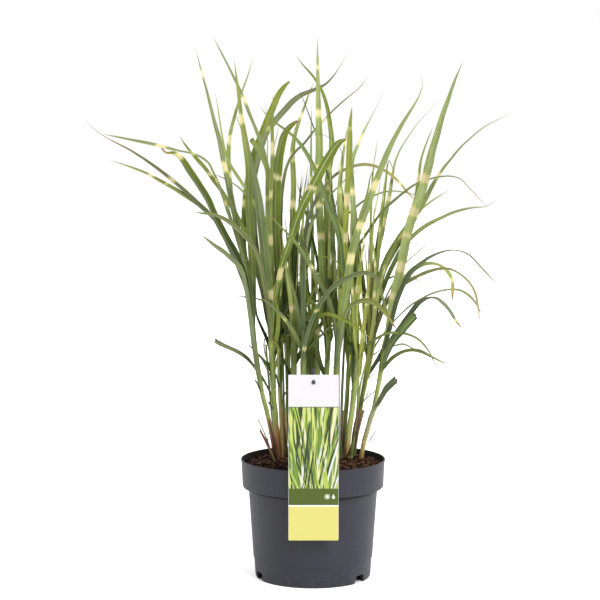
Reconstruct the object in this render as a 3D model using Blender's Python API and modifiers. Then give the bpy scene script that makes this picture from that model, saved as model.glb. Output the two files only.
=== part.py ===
"""Potted miscanthus grass clump: nursery pot, root ball, tillers, banded blades, hang label.

Metres, +Z up. The origin is on the pot's axis, on the surface that the pot stands on.
The label hangs on the side that faces -Y.
"""

import math
from dataclasses import dataclass

import bmesh
import bpy
from mathutils import Vector
from mathutils.bvhtree import BVHTree

# Nursery pot, 19 cm across the rim.
POT_HEIGHT = 0.157
RIM_RADIUS = 0.095
COLLAR_FOOT_RADIUS = 0.0932
COLLAR_HEIGHT = 0.0365
COLLAR_EDGE = 0.0007
BODY_TOP_RADIUS = 0.0855
BODY_TOP_Z = POT_HEIGHT - COLLAR_HEIGHT
BASE_RADIUS = 0.0765
WALL = 0.0015
LIP_BEAD = 0.0004
STEP_Z = 0.026
STEP_DEPTH = 0.0004
FLOOR_UNDERSIDE_Z = 0.0115
FLOOR_TOP_Z = 0.0135
FOOT_RING_WALL = 0.0028
FOOT_PAD_RADIUS = 0.015
FOOT_CHAMFER = 0.0016
FOOT_CHAMFER_HEIGHT = 0.0024
LIP_TURN = 0.0005
LIP_DROP = 0.0026
POT_SIDES = 48
TURN_WELD = 0.00005

# Drain notches in the foot ring, counted from the front and towards +X.
NOTCH_COUNT = 3
NOTCH_FIRST_ANGLE = math.radians(-67.0)
NOTCH_WIDTH = 0.022
NOTCH_HEIGHT = 0.0105
NOTCH_REACH = 0.012
NOTCH_SLANT = 0.72
NOTCH_BELOW = 0.002

# Root ball and the surface of the potting soil.
SOIL_EDGE_Z = 0.1495
SOIL_CROWN = 0.0055
SOIL_LUMP = 0.0011
SOIL_LUMP_WAVES = (151.0, 127.0, 263.0, 211.0)
SOIL_FINE_SHARE = 0.6
SOIL_RINGS = (0.022, 0.042, 0.060, 0.076)
SOIL_SIDES = 40
SOIL_SIDE_GAP = 0.0005
TOUCH_GAP = 0.0003
ROOT_DEPTH = 0.012

# Hang label and its stake.
LABEL_WIDTH = 0.0640
LABEL_TOP_Z = 0.2815
LABEL_BOTTOM_Z = 0.0680
LABEL_THICKNESS = 0.0008
LABEL_Y = -0.0963
LABEL_CORNER = 0.0012
LABEL_CORNER_STEPS = 3
HOLE_RADIUS = 0.0021
HOLE_SIDES = 12
HOLE_BELOW_TOP = 0.0095
STAKE_RADIUS = 0.0022
STAKE_Y = -0.0840
STAKE_TOP_Z = 0.2880
STAKE_FOOT_Z = 0.1240
STAKE_POINT_LENGTH = 0.008
STAKE_POINT_RADIUS = 0.0006
STAKE_SIDES = 16
PEG_RADIUS = 0.0017
PEG_SIDES = 12
# The peg's root lies inside the stake, this far in front of the pot's axis.
PEG_ROOT_Y = 0.0849
BUTTON_RADIUS = 0.0027
BUTTON_THICKNESS = 0.0012

# The eye that the plant's outline was read from, and its picture of 600 by 600 pixels.
EYE = Vector((-0.0172, -2.5, 0.6145))
EYE_PITCH = math.radians(5.65)
EYE_FOCAL_PIXELS = 1914.0
PICTURE_CENTRE = 300.0

# Blade section and taper.
BLADE_FOLD = 0.11
BLADE_THICKNESS = 0.0010
BLADE_BASE_SHARE = 0.55
BLADE_WIDENS_BY = 0.22
BLADE_TAPERS_FROM = 0.36
BLADE_TAPER_POWER = 0.70
LEAN_POWER = 1.6
BLADE_OFFSET = 0.0016
TIP_THICKNESS_SHARE = 0.2
TIP_THICKNESS = 0.0003

# Search for a free depth where blades cross.
CLEARANCE = 0.0005
DEPTH_STEP = 0.0025
DEPTH_TRIES = 60
BASE_FOLLOWS = 0.25
FOLLOW_LENGTH = 0.3

POT_COLOUR = (0.085, 0.085, 0.100)
SOIL_COLOUR = (0.030, 0.017, 0.012)
CARD_COLOUR = (0.80, 0.78, 0.52)
STAKE_COLOUR = (0.05, 0.05, 0.06)
CULM_COLOUR = (0.22, 0.30, 0.08)
BLADE_COLOUR = (0.20, 0.30, 0.09)
DRY_COLOUR = (0.30, 0.16, 0.09)


@dataclass(frozen=True)
class Stem:
    """A tiller or dry sheath: picture points (across, down, depth in mm) from the soil up."""

    name: str
    foot_radius: float
    top_radius: float
    points: tuple
    colour: tuple = CULM_COLOUR


@dataclass(frozen=True)
class Blade:
    """A leaf blade on a stem: picture points (across, down) from its collar to its tip.

    reach is the depth of the tip behind the pot's axis in mm, side is -1 on the near side
    of the stem and +1 on the far side, and turns are the angles in degrees between the
    blade's upper face and the eye at the collar, midway and at the tip.
    """

    name: str
    stem: str
    side: int
    width: float
    reach: float
    turns: tuple
    points: tuple
    blunt: bool = False


STEMS = (
    Stem("culm_left_outer", 0.0034, 0.0026, (
        (276, 457, 16), (272, 436, 15), (267, 412, 13), (262, 393, 12),
        (258, 370, 10), (255, 350, 8), (252.5, 330, 6), (251, 312, 4))),
    Stem("culm_left_main", 0.0038, 0.0029, (
        (279.5, 457, 28), (276.5, 430, 27), (274, 400, 25), (272.5, 370, 22),
        (271.3, 345, 18), (270.5, 325, 14))),
    Stem("culm_left_inner", 0.0030, 0.0022, (
        (282, 457, 42), (281.5, 430, 43), (280.8, 405, 44), (280.2, 380, 45),
        (279.7, 355, 46), (279.5, 335, 47))),
    Stem("culm_left_behind", 0.0026, 0.0020, (
        (286, 457, 56), (286, 430, 60), (287, 405, 64), (288, 380, 68),
        (288.5, 350, 72), (288.5, 322, 76))),
    Stem("culm_mid_left", 0.0036, 0.0028, (
        (295, 459, 22), (295, 430, 18), (294.7, 400, 14), (294, 370, 10),
        (293.2, 340, 6), (292.3, 315, 2))),
    Stem("culm_mid_front", 0.0036, 0.0028, (
        (303, 463, -8), (303, 430, -12), (303, 395, -17), (303.2, 360, -22),
        (303.5, 330, -27))),
    Stem("culm_mid_back", 0.0030, 0.0022, (
        (311, 457, 36), (311.3, 420, 40), (311.8, 385, 44), (312.3, 350, 48),
        (312.8, 320, 52))),
    Stem("culm_mid_right", 0.0032, 0.0024, (
        (322, 460, 10), (323.5, 430, 9), (325.5, 395, 8), (327.5, 360, 7),
        (329.3, 330, 6))),
    Stem("culm_right_front", 0.0036, 0.0028, (
        (332, 464, -16), (333.3, 430, -20), (335, 395, -24), (336.8, 360, -28),
        (338.5, 335, -31))),
    Stem("culm_right_thin", 0.0028, 0.0022, (
        (342, 457, 38), (344, 430, 38), (346, 405, 38), (348, 380, 38),
        (349.8, 355, 38))),
    Stem("culm_right_main", 0.0040, 0.0031, (
        (346, 460, 18), (349, 432, 16), (353, 403, 13), (354.8, 385, 11),
        (356.2, 365, 9), (357.5, 345, 7))),
    Stem("culm_right_inner", 0.0030, 0.0023, (
        (352, 456, 50), (356, 430, 51), (360, 408, 52), (364, 388, 53),
        (367.3, 368, 54), (370, 348, 55))),
    Stem("culm_right_shoot", 0.0033, 0.0024, (
        (361, 458, 26), (364.5, 440, 25), (369, 424, 24), (374, 408, 23),
        (377.3, 392, 22), (380.2, 375, 21), (382.5, 358, 20), (384.5, 343, 19))),
    Stem("shoot_small", 0.0014, 0.0005, (
        (272.3, 456.5, -6), (267, 445, -8), (263, 436, -10), (257.5, 419.5, -12))),
    Stem("sheath_dry_left", 0.0019, 0.0009, (
        (277.5, 457, 6), (274.5, 442, 4), (271, 430, 3), (267.5, 418.5, 2)),
        DRY_COLOUR),
    Stem("sheath_dry_right", 0.0024, 0.0011, (
        (352.5, 455, 38), (355, 440, 38), (359, 424, 38), (363.5, 409, 38)),
        DRY_COLOUR),
)

BLADES = (
    Blade("blade_tallest", "culm_mid_right", 1, 0.0105, 90, (15, 10, 10), (
        (329.3, 341), (326, 305), (323.5, 280), (322, 258), (321, 240), (320, 222), (319, 203),
        (318.5, 185), (318.7, 167), (319.3, 150), (318.8, 125), (318.2, 100), (317.7, 75),
        (317.5, 55), (317.5, 36.5))),
    Blade("blade_front_midrib", "culm_left_main", -1, 0.0105, -150, (30, 25, 20), (
        (271.5, 334), (272.5, 318), (274.5, 303), (277, 290), (279.8, 275), (283.5, 260),
        (288, 248), (293, 233), (299, 215), (305, 201.5), (311, 190), (317, 178.5),
        (324, 165.5), (330.5, 154.5), (336, 146), (340.5, 141.5), (345.5, 139.3))),
    Blade("blade_centre_left_broad", "culm_left_main", -1, 0.0130, -95, (170, 165, 165), (
        (270.5, 326), (269.7, 306), (268.3, 288), (266.5, 270), (264.5, 250), (262.3, 230),
        (260, 210), (257.5, 192), (254.5, 176), (251.8, 162), (249.5, 150), (248, 143))),
    Blade("blade_right_great", "culm_right_front", -1, 0.0115, -110, (-150, -150, -150), (
        (339.5, 338), (342, 318), (345, 300), (347.7, 280), (350.3, 262), (353.5, 246),
        (357.5, 233), (361.7, 221), (366, 209.5), (370.5, 197), (376, 181.5), (383, 163.5),
        (390.5, 146), (399, 129.5), (409, 113), (415, 103.5), (419.5, 95), (422.3, 85),
        (421.2, 73.5))),
    Blade("blade_right_great_outer", "culm_right_shoot", -1, 0.0115, -70, (-20, -20, -30), (
        (385, 349), (387, 335), (390, 318), (393, 300), (396.5, 285), (400, 270),
        (403.3, 255), (406, 240), (409.5, 226), (413.5, 213), (417.5, 201.5), (422, 190),
        (426, 176), (429.3, 163), (432.6, 149), (436, 138), (442, 117), (449, 97), (455, 80),
        (463, 61.5))),
    Blade("blade_left_hooked", "culm_left_outer", -1, 0.0125, -95, (150, 140, 150), (
        (254, 345), (252, 325), (250.5, 308), (247.5, 288), (243, 270), (236, 254),
        (228, 240), (221, 227), (214, 212.5), (208, 199), (200, 186), (190, 171),
        (180, 157), (174, 152.7), (166, 152.5), (161.5, 148))),
    Blade("blade_far_left_low", "culm_left_outer", 1, 0.0080, 95, (60, 50, 70), (
        (251.5, 322), (250.5, 303), (247.5, 286), (241, 268), (233, 252), (224, 234),
        (214, 219), (200, 206), (180, 192), (160, 180.5), (147, 173.5), (125, 165),
        (109.5, 160))),
    Blade("blade_far_left_high", "culm_left_outer", -1, 0.0070, -60, (120, 120, 100), (
        (250.5, 316), (246, 290), (239, 270), (230, 249), (222, 233), (213, 217), (200, 205),
        (190, 195.5), (168, 176.5), (150, 163), (130, 150), (110, 139.5), (100, 133.5),
        (90, 125), (85, 119))),
    Blade("blade_left_kinked", "culm_left_outer", 1, 0.0075, 60, (40, 60, 75), (
        (253.5, 337), (251.5, 318), (249, 298), (246.5, 280), (243, 260), (240, 248),
        (236, 235), (231, 220), (227, 208), (223.5, 197), (219.5, 187), (216, 178),
        (212, 169.5), (209, 163.5), (204, 159), (192, 153.5), (178, 150.5), (150, 143.5),
        (130, 139.5), (110, 135.5), (101.5, 134))),
    Blade("blade_left_crossing", "culm_left_main", 1, 0.0070, 130, (30, 40, 60), (
        (271, 340), (269, 318), (266, 296), (262, 275), (257, 256), (250, 240), (243, 227),
        (236, 214), (228, 201), (221, 190), (215, 182), (205, 168), (197, 159),
        (190, 151), (184, 143), (179.5, 136))),
    Blade("blade_left_curled", "culm_left_main", -1, 0.0080, -115, (150, 130, 110), (
        (271, 345), (269.5, 322), (266.5, 298), (263, 278), (260, 263), (255, 249.5),
        (247.5, 239), (240, 231), (230, 222.5), (222, 217.5), (212, 214), (202, 213.3),
        (194.5, 212))),
    Blade("blade_left_lowest", "culm_left_outer", -1, 0.0080, -75, (140, 120, 110), (
        (256, 358), (252.5, 332), (249.5, 308), (246, 287), (242, 272), (237, 264),
        (231, 258.5), (224, 252), (215, 245.5), (208, 240), (201, 234.5))),
    Blade("blade_upper_left_thin", "culm_left_outer", 1, 0.0090, 90, (20, 25, 40), (
        (256, 356), (253.5, 330), (250.5, 300), (247, 272), (243, 250), (239, 235),
        (236, 220), (233, 207), (230, 192), (227, 177), (224, 163), (221.2, 149),
        (218.5, 136), (215, 124), (212, 112), (206, 88), (201, 70), (195.5, 47.5))),
    Blade("blade_upper_left_long", "culm_left_main", 1, 0.0075, 100, (30, 40, 50), (
        (271.5, 352), (270, 325), (268.5, 300), (267.5, 275), (266.5, 250), (267, 225),
        (268, 205), (268.6, 188), (268, 172), (265.5, 158), (260, 140), (255, 127),
        (250, 115), (243, 97), (230, 69.5), (220, 50), (212.5, 35.5))),
    Blade("blade_left_upright_pale", "culm_left_outer", -1, 0.0095, -80, (20, 20, 30), (
        (253, 336), (253, 300), (252.3, 268), (251, 240), (249.5, 220), (248.7, 200),
        (249, 180), (248.6, 165), (246.8, 150), (244.3, 135), (241.2, 116), (239, 98),
        (236, 74), (234.2, 60))),
    Blade("blade_left_dark_upright", "culm_left_outer", 1, 0.0090, 150, (30, 20, 20), (
        (252.5, 330), (251.5, 300), (248, 272), (245, 256), (243.5, 240), (244, 220),
        (245.3, 203), (247, 188), (249.5, 173), (253, 158.5), (259, 142), (266, 124),
        (271, 112), (274.8, 103), (279, 94), (285, 86), (289.5, 81.5))),
    Blade("blade_upper_right_arch", "culm_left_behind", 1, 0.0090, 130, (20, 20, -60), (
        (288.5, 348), (267.5, 312), (262, 285), (256.5, 250), (253.5, 215), (252.5, 195),
        (254, 178), (257, 163), (261, 148), (266, 134), (271, 126), (277.5, 118),
        (286, 108.5), (292, 102), (300, 95.8), (314, 89.8), (325, 84.5), (333, 76.5),
        (340, 66), (348.5, 50.5))),
    Blade("blade_centre_left_upright", "culm_left_inner", -1, 0.0075, -60, (10, 15, 20), (
        (279, 342), (274.5, 315), (272, 290), (271.3, 270), (271.5, 248), (271.5, 225),
        (271.8, 205), (272.2, 185), (272.7, 165), (272.5, 148), (272.3, 135), (272.6, 122),
        (273, 108), (273, 93))),
    Blade("blade_centre_broad_olive", "culm_left_inner", -1, 0.0115, -90, (160, 150, 140), (
        (280, 352), (279.3, 322), (278.5, 290), (277.5, 262), (276.5, 235), (276.5, 210),
        (277, 190), (277.8, 172), (279, 160), (281, 148.5), (283.5, 138), (287, 130.5),
        (292, 125), (297.5, 121))),
    Blade("blade_long_diagonal", "culm_left_behind", 1, 0.0075, 90, (20, 20, -60), (
        (288.5, 340), (287, 308), (284.5, 280), (281.5, 255), (279.3, 235), (279.3, 218),
        (280.7, 202), (282.5, 188), (284, 178), (286.3, 168), (290, 159), (296, 151),
        (303.5, 144), (315, 129.5), (325, 119), (333, 110.5), (347, 98), (360, 87),
        (368, 76))),
    Blade("blade_centre_cream", "culm_mid_left", 1, 0.0080, 160, (15, 10, -20), (
        (293, 332), (292, 300), (291.4, 272), (291.3, 245), (292.2, 222), (293, 203),
        (293.6, 188), (293.2, 172), (292.5, 157), (293, 146), (296, 131), (300, 119),
        (304, 108), (310, 91), (315.5, 79.5))),
    Blade("blade_right_bright", "culm_right_thin", -1, 0.0080, -50, (10, 10, 10), (
        (349.5, 362), (347, 330), (344.5, 300), (344.5, 275), (345, 250), (345.6, 228),
        (346.6, 206), (347.3, 189), (348.6, 170), (349.4, 150), (349.8, 135), (350.2, 122),
        (351.3, 113), (352, 106.3))),
    Blade("blade_right_grey", "culm_right_main", 1, 0.0080, 150, (15, 20, -40), (
        (357.2, 352), (356.7, 322), (355.8, 288), (355.2, 258), (354.5, 234), (353.7, 215),
        (352.7, 198), (351.7, 182), (351.2, 168), (353, 157), (357, 147), (362.5, 134),
        (368, 123), (375, 110), (382, 95), (385, 86))),
    Blade("blade_right_slender", "culm_right_inner", 1, 0.0065, 120, (15, 20, -60), (
        (370, 352), (372.5, 325), (374.5, 300), (375.3, 285), (376.2, 268), (377.8, 252),
        (380.5, 240), (383, 228), (384.8, 218), (387, 206), (389.2, 196), (391, 186),
        (392.7, 174), (395.3, 161.5), (400, 150), (408, 137), (420, 120.5), (432, 108),
        (440, 100.3))),
    Blade("blade_far_right_high", "culm_right_inner", -1, 0.0080, 45, (20, 20, -50), (
        (370, 356), (372.5, 328), (376, 303), (379.5, 285), (384, 270), (390, 258),
        (397, 246), (404, 235), (410, 226), (415, 217), (419.5, 208.5), (424.5, 200.5),
        (429, 192), (433.5, 183.5), (439.5, 174), (445, 166), (450.5, 159.5), (459, 149),
        (470, 138.5), (484, 127), (500, 118.5), (513.5, 111.3))),
    Blade("blade_centre_arch_far", "culm_mid_front", 1, 0.0080, 110, (-20, -80, -50), (
        (303.5, 340), (302.5, 305), (302.5, 272), (303.5, 248), (305.5, 230), (310, 213),
        (316, 200), (322, 190), (330, 180), (338, 173), (347, 168.7), (357, 165.3),
        (366, 164.5), (377, 166.8), (387, 172), (396, 179), (404, 188), (411, 196),
        (419, 203))),
    Blade("blade_centre_arch_thin", "culm_mid_back", 1, 0.0050, 185, (-50, -85, -80), (
        (312.6, 335), (314, 302), (317, 272), (321, 250), (326, 239), (331, 232.5),
        (337, 225.5), (343, 219), (350, 212.3), (357, 206), (365, 200), (376, 194.8),
        (385, 191.8), (393, 191), (404, 192.3), (415, 194.8), (424, 196.8), (434, 197.7))),
    Blade("blade_right_arch_drooping", "culm_right_thin", 1, 0.0055, 20, (-60, -85, -60), (
        (349.6, 360), (348.5, 330), (348.3, 305), (349.5, 280), (352.5, 260), (358, 247),
        (364.5, 236.5), (371, 227), (377.5, 217.5), (385, 208.7), (394.5, 200),
        (404, 192.2), (415, 184.5), (428, 179.5), (440, 176.7), (451.5, 176.3),
        (460, 178.6), (468.4, 187), (479.6, 199), (488.5, 208.5))),
    Blade("blade_far_right_level", "culm_right_inner", 1, 0.0070, 110, (-30, -70, -80), (
        (369, 361), (372, 335), (376, 312), (381, 295), (387, 278), (393.5, 264),
        (400, 251.5), (407, 242), (415, 234), (425, 226.2), (440, 218.3), (454, 212.3),
        (465, 209), (475, 207.4), (486, 206.3), (491.5, 203.5), (499.5, 198.3))),
    Blade("blade_right_arch_long", "culm_right_shoot", -1, 0.0090, -60, (-30, -80, -60), (
        (383.7, 355), (386.3, 341), (390, 326), (393, 313), (396.5, 301), (401, 289.5),
        (407, 278), (414, 269), (422, 262.3), (430, 257), (440, 252.6), (450, 250.2),
        (460, 251), (468.5, 254.5), (480, 266), (490, 277), (498.5, 285.8))),
    Blade("blade_right_arch_hanging", "culm_right_shoot", 1, 0.0090, 40, (-10, -85, -20), (
        (384, 352), (387, 336), (390, 320), (393.5, 305), (398.5, 291), (405, 279.5),
        (412, 270.5), (420, 265.3), (429, 263.2), (438, 264.5), (445, 268.8), (450, 275),
        (452.5, 283), (452.5, 293), (452, 304))),
    Blade("blade_right_arch_low", "culm_right_inner", -1, 0.0075, -80, (-30, -80, -40), (
        (369.3, 362), (371.5, 344), (375.5, 330), (379.5, 318), (384, 307), (389.5, 298),
        (396, 290.5), (403, 284.5), (411, 279.7), (420, 275), (430, 271), (440, 268.7),
        (450, 269), (460, 274), (468, 281), (474, 290), (477, 300), (478.5, 311),
        (480.3, 323))),
    Blade("blade_right_arch_wiry", "culm_right_inner", 1, 0.0055, 80, (-60, -85, -70), (
        (366.5, 375), (369.5, 360), (374, 348), (380, 338.5), (386.5, 330), (395, 320),
        (403, 312), (410, 305.7), (420, 299.4), (430, 294.3), (440, 291), (450, 289.4),
        (460, 290.3), (468, 294.7), (474, 300.7), (478.5, 308), (482, 315))),
    Blade("blade_right_arch_broad", "culm_right_inner", -1, 0.0090, -60, (-40, -85, -30), (
        (365.5, 381), (370, 372), (376, 362.5), (382, 353), (388, 344.5), (394, 336),
        (400, 328), (406, 319), (412, 311), (417.5, 304.3), (424, 299.8), (430, 297.6),
        (436, 298), (443, 303), (450, 311), (455, 319.5), (459, 325), (463, 329.5))),
    Blade("blade_right_cut", "culm_right_shoot", -1, 0.0110, -30, (-20, -20, -20), (
        (381, 374), (384, 362), (387, 353.5), (391, 345), (396, 337.5), (402, 330.5),
        (408, 323.5), (413.5, 317.5), (415.5, 315.3)), True),
    Blade("blade_front_arch_left", "culm_mid_front", -1, 0.0105, -170, (-150, -100, -60), (
        (303.3, 362), (305, 345), (309, 331), (314, 317), (320, 304.5), (328, 293),
        (337, 284), (347, 278), (357, 274.3), (366, 273), (374, 276), (379, 284),
        (382, 295), (385, 306), (389.5, 314), (394, 317))),
    Blade("blade_front_arch_right", "culm_right_front", -1, 0.0095, -145, (-160, -100, -40), (
        (336.5, 366), (338.5, 352), (340.5, 338), (343, 321), (347, 310.5), (353, 304.3),
        (360, 301.2), (368, 301), (375, 303.3), (382, 309), (388, 316), (393, 324),
        (397, 330))),
    Blade("blade_front_diagonal", "culm_right_front", -1, 0.0090, -105, (140, 150, 150), (
        (337.2, 352), (336.2, 332), (332, 310), (327, 295), (320, 283), (313, 270),
        (306, 258), (299, 247), (290, 236), (280, 226), (274, 219.5), (269.5, 214))),
    Blade("blade_left_cut", "culm_left_main", 1, 0.0085, 10, (60, 50, 40), (
        (272.5, 400), (267, 386), (261, 376), (254.5, 367), (248, 359), (240, 353),
        (230.5, 348.3), (221.5, 344.3), (214.5, 340.3)), True),
    Blade("blade_right_stub", "culm_right_shoot", -1, 0.0105, -20, (-30, -20, -20), (
        (374, 411), (377.8, 404), (382, 396), (386, 389), (391, 384), (396, 379.5)), True),
)


def clear_scene():
    """Remove every object of the open scene."""
    for thing in list(bpy.data.objects):
        bpy.data.objects.remove(thing, do_unlink=True)


def new_collection(name):
    """Return a new collection linked to the scene."""
    collection = bpy.data.collections.new(name)
    bpy.context.scene.collection.children.link(collection)
    return collection


def finish(thing, colour, roughness):
    """Give an object its own Principled material and smooth shading."""
    material = bpy.data.materials.new(thing.name + "_finish")
    material.use_nodes = True
    shader = material.node_tree.nodes["Principled BSDF"]
    shader.inputs["Base Color"].default_value = (*colour, 1.0)
    shader.inputs["Roughness"].default_value = roughness
    shader.inputs["Metallic"].default_value = 0.0
    thing.data.materials.clear()
    thing.data.materials.append(material)


def place_mesh(name, mesh, collection):
    """Put a mesh in a collection as a named object."""
    mesh.name = name
    thing = bpy.data.objects.new(name, mesh)
    collection.objects.link(thing)
    return thing


def as_cutter(thing):
    """Mark an object as a cutter that is neither rendered nor a piece."""
    thing.hide_render = True
    thing.display_type = "WIRE"


def baked_mesh(thing):
    """Return an object's evaluated mesh, its loose caps welded and its faces outward."""
    graph = bpy.context.evaluated_depsgraph_get()
    mesh = bpy.data.meshes.new_from_object(thing.evaluated_get(graph))
    bm = bmesh.new()
    bm.from_mesh(mesh)
    bmesh.ops.remove_doubles(bm, verts=bm.verts, dist=1e-6)
    bmesh.ops.recalc_face_normals(bm, faces=bm.faces)
    if bm.calc_volume(signed=True) < 0.0:
        bmesh.ops.reverse_faces(bm, faces=bm.faces)
    bm.to_mesh(mesh)
    bm.free()
    return mesh


def turned(name, profile, sides, collection):
    """Return a solid of revolution about Z from (radius, height) points, as a plain mesh."""
    mesh = bpy.data.meshes.new(name)
    points = [(radius, 0.0, height) for radius, height in profile]
    edges = [(i, i + 1) for i in range(len(points) - 1)]
    mesh.from_pydata(points, edges, [])
    guide = place_mesh(name + "_profile", mesh, collection)
    screw = guide.modifiers.new("turn", "SCREW")
    screw.steps = sides
    screw.render_steps = sides
    screw.use_merge_vertices = True
    screw.merge_threshold = TURN_WELD
    bpy.context.view_layer.update()
    solid = baked_mesh(guide)
    bpy.data.objects.remove(guide, do_unlink=True)
    return place_mesh(name, solid, collection)


def cut(target, cutters):
    """Subtract each cutter from the target."""
    for cutter in cutters:
        step = target.modifiers.new("cut_" + cutter.name, "BOOLEAN")
        step.operation = "DIFFERENCE"
        step.solver = "EXACT"
        step.object = cutter


def seen_from_eye(across, down, depth):
    """Return the point that the eye sees at a pixel, a given distance behind the axis."""
    forward = Vector((0.0, math.cos(EYE_PITCH), -math.sin(EYE_PITCH)))
    upward = Vector((0.0, math.sin(EYE_PITCH), math.cos(EYE_PITCH)))
    ray = forward * EYE_FOCAL_PIXELS
    ray += Vector((1.0, 0.0, 0.0)) * (across - PICTURE_CENTRE)
    ray += upward * (PICTURE_CENTRE - down)
    return EYE + ray * ((depth - EYE.y) / ray.y)


def body_radius(height):
    """Return the outer radius of the pot's tapering body at a height."""
    share = height / BODY_TOP_Z
    return BASE_RADIUS + (BODY_TOP_RADIUS - BASE_RADIUS) * share


def pot_profile():
    """Return the pot's wall as (radius, height): up the inside, down the outside."""
    inner_floor = body_radius(FLOOR_TOP_Z) - WALL
    return [
        (0.0, FLOOR_TOP_Z),
        (inner_floor, FLOOR_TOP_Z),
        (BODY_TOP_RADIUS - WALL, BODY_TOP_Z + WALL),
        (COLLAR_FOOT_RADIUS - WALL, BODY_TOP_Z + WALL),
        (RIM_RADIUS - WALL, POT_HEIGHT - 0.0006),
        (RIM_RADIUS - WALL + LIP_TURN, POT_HEIGHT),
        (RIM_RADIUS - 0.0002, POT_HEIGHT),
        (RIM_RADIUS + LIP_BEAD, POT_HEIGHT - 0.0008),
        (RIM_RADIUS - 0.0001, POT_HEIGHT - LIP_DROP),
        (COLLAR_FOOT_RADIUS, BODY_TOP_Z + COLLAR_EDGE),
        (COLLAR_FOOT_RADIUS - COLLAR_EDGE, BODY_TOP_Z),
        (BODY_TOP_RADIUS, BODY_TOP_Z),
        (body_radius(STEP_Z) + STEP_DEPTH, STEP_Z + 0.0005),
        (body_radius(STEP_Z) - STEP_DEPTH, STEP_Z - 0.0005),
        (BASE_RADIUS, FOOT_CHAMFER_HEIGHT),
        (BASE_RADIUS - FOOT_CHAMFER, 0.0),
        (BASE_RADIUS - FOOT_RING_WALL, 0.0),
        (BASE_RADIUS - FOOT_RING_WALL, FLOOR_UNDERSIDE_Z),
        (FOOT_PAD_RADIUS, FLOOR_UNDERSIDE_Z),
        (FOOT_PAD_RADIUS, 0.0),
        (0.0, 0.0),
    ]


def notch_cutter(index, collection):
    """Return a wedge that cuts one drain notch through the foot ring."""
    mesh = bpy.data.meshes.new("notch_%d" % index)
    bm = bmesh.new()
    bmesh.ops.create_cube(bm, size=1.0)
    for vert in bm.verts:
        share = NOTCH_SLANT if vert.co.z > 0.0 else 1.0
        vert.co.x *= NOTCH_WIDTH * share
        vert.co.y *= NOTCH_REACH
        vert.co.z = NOTCH_HEIGHT if vert.co.z > 0.0 else -NOTCH_BELOW
        vert.co.y -= BASE_RADIUS
    bm.to_mesh(mesh)
    bm.free()
    cutter = place_mesh("notch_%d" % index, mesh, collection)
    cutter.rotation_euler = (0.0, 0.0, NOTCH_FIRST_ANGLE + index * math.tau / NOTCH_COUNT)
    as_cutter(cutter)
    return cutter


def build_pot(parts, cutters):
    """Build the nursery pot: tapering body, overhanging collar, notched foot ring, centre pad."""
    pot = turned("pot", pot_profile(), POT_SIDES, parts)
    cut(pot, [notch_cutter(index, cutters) for index in range(NOTCH_COUNT)])
    finish(pot, POT_COLOUR, 0.45)


def soil_height(x, y):
    """Return the height of the uneven soil surface."""
    share = min(1.0, math.hypot(x, y) / RIM_RADIUS)
    crown = SOIL_CROWN * (1.0 - share * share)
    wide_x, wide_y, fine_x, fine_y = SOIL_LUMP_WAVES
    lumps = math.sin(x * wide_x + 0.7) * math.cos(y * wide_y - 0.4)
    lumps += SOIL_FINE_SHARE * math.sin(x * fine_x - y * fine_y)
    return SOIL_EDGE_Z + crown + SOIL_LUMP * lumps


def build_soil(pot_inside, collection):
    """Build the root ball: the pot's inside with a slightly domed, lumpy top."""
    edge = pot_inside[-1][0]
    profile = [(0.0, SOIL_EDGE_Z)]
    profile += [(radius, SOIL_EDGE_Z) for radius in SOIL_RINGS]
    profile += [(edge, SOIL_EDGE_Z)]
    profile += list(reversed(pot_inside[:-1]))
    profile += [(0.0, pot_inside[0][1])]
    soil = turned("soil", profile, SOIL_SIDES, collection)
    for vert in soil.data.vertices:
        if vert.co.z > SOIL_EDGE_Z - 0.0001:
            vert.co.z = soil_height(vert.co.x, vert.co.y)
    finish(soil, SOIL_COLOUR, 0.95)
    return soil


def soil_outline():
    """Return (radius, height) points of the root ball's side, bottom to top."""
    gap = SOIL_SIDE_GAP
    ledge = BODY_TOP_Z + WALL + gap
    rim_share = (SOIL_EDGE_Z - BODY_TOP_Z) / (POT_HEIGHT - BODY_TOP_Z)
    inner_edge = COLLAR_FOOT_RADIUS + (RIM_RADIUS - COLLAR_FOOT_RADIUS) * rim_share
    return [
        (body_radius(FLOOR_TOP_Z) - WALL - gap, FLOOR_TOP_Z + TOUCH_GAP),
        (BODY_TOP_RADIUS - WALL - gap, ledge),
        (COLLAR_FOOT_RADIUS - WALL - gap, ledge),
        (inner_edge - WALL - gap, SOIL_EDGE_Z),
    ]


def stem_route(stem):
    """Return a stem's centre line from its buried foot to its top, as vectors."""
    line = [seen_from_eye(a, d, depth / 1000.0) for a, d, depth in stem.points]
    foot = (line[0] - line[1]).normalized()
    return [line[0] + foot * ROOT_DEPTH] + line


def stem_radii(stem, count):
    """Return radii that taper evenly from foot to top."""
    shares = [i / (count - 1) for i in range(count)]
    return [stem.foot_radius + (stem.top_radius - stem.foot_radius) * s for s in shares]


def tube(name, route, radii, collection):
    """Return a tapering eight-sided rod with closed ends along a route, as a mesh."""
    curve = bpy.data.curves.new(name, "CURVE")
    curve.dimensions = "3D"
    curve.bevel_depth = 1.0
    curve.bevel_resolution = 2
    curve.use_fill_caps = True
    spline = curve.splines.new("POLY")
    spline.points.add(len(route) - 1)
    for point, place, radius in zip(spline.points, route, radii):
        point.co = (*place, 1.0)
        point.radius = radius
    guide = bpy.data.objects.new(name + "_line", curve)
    collection.objects.link(guide)
    bpy.context.view_layer.update()
    mesh = baked_mesh(guide)
    bpy.data.objects.remove(guide, do_unlink=True)
    return place_mesh(name, mesh, collection)


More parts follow.
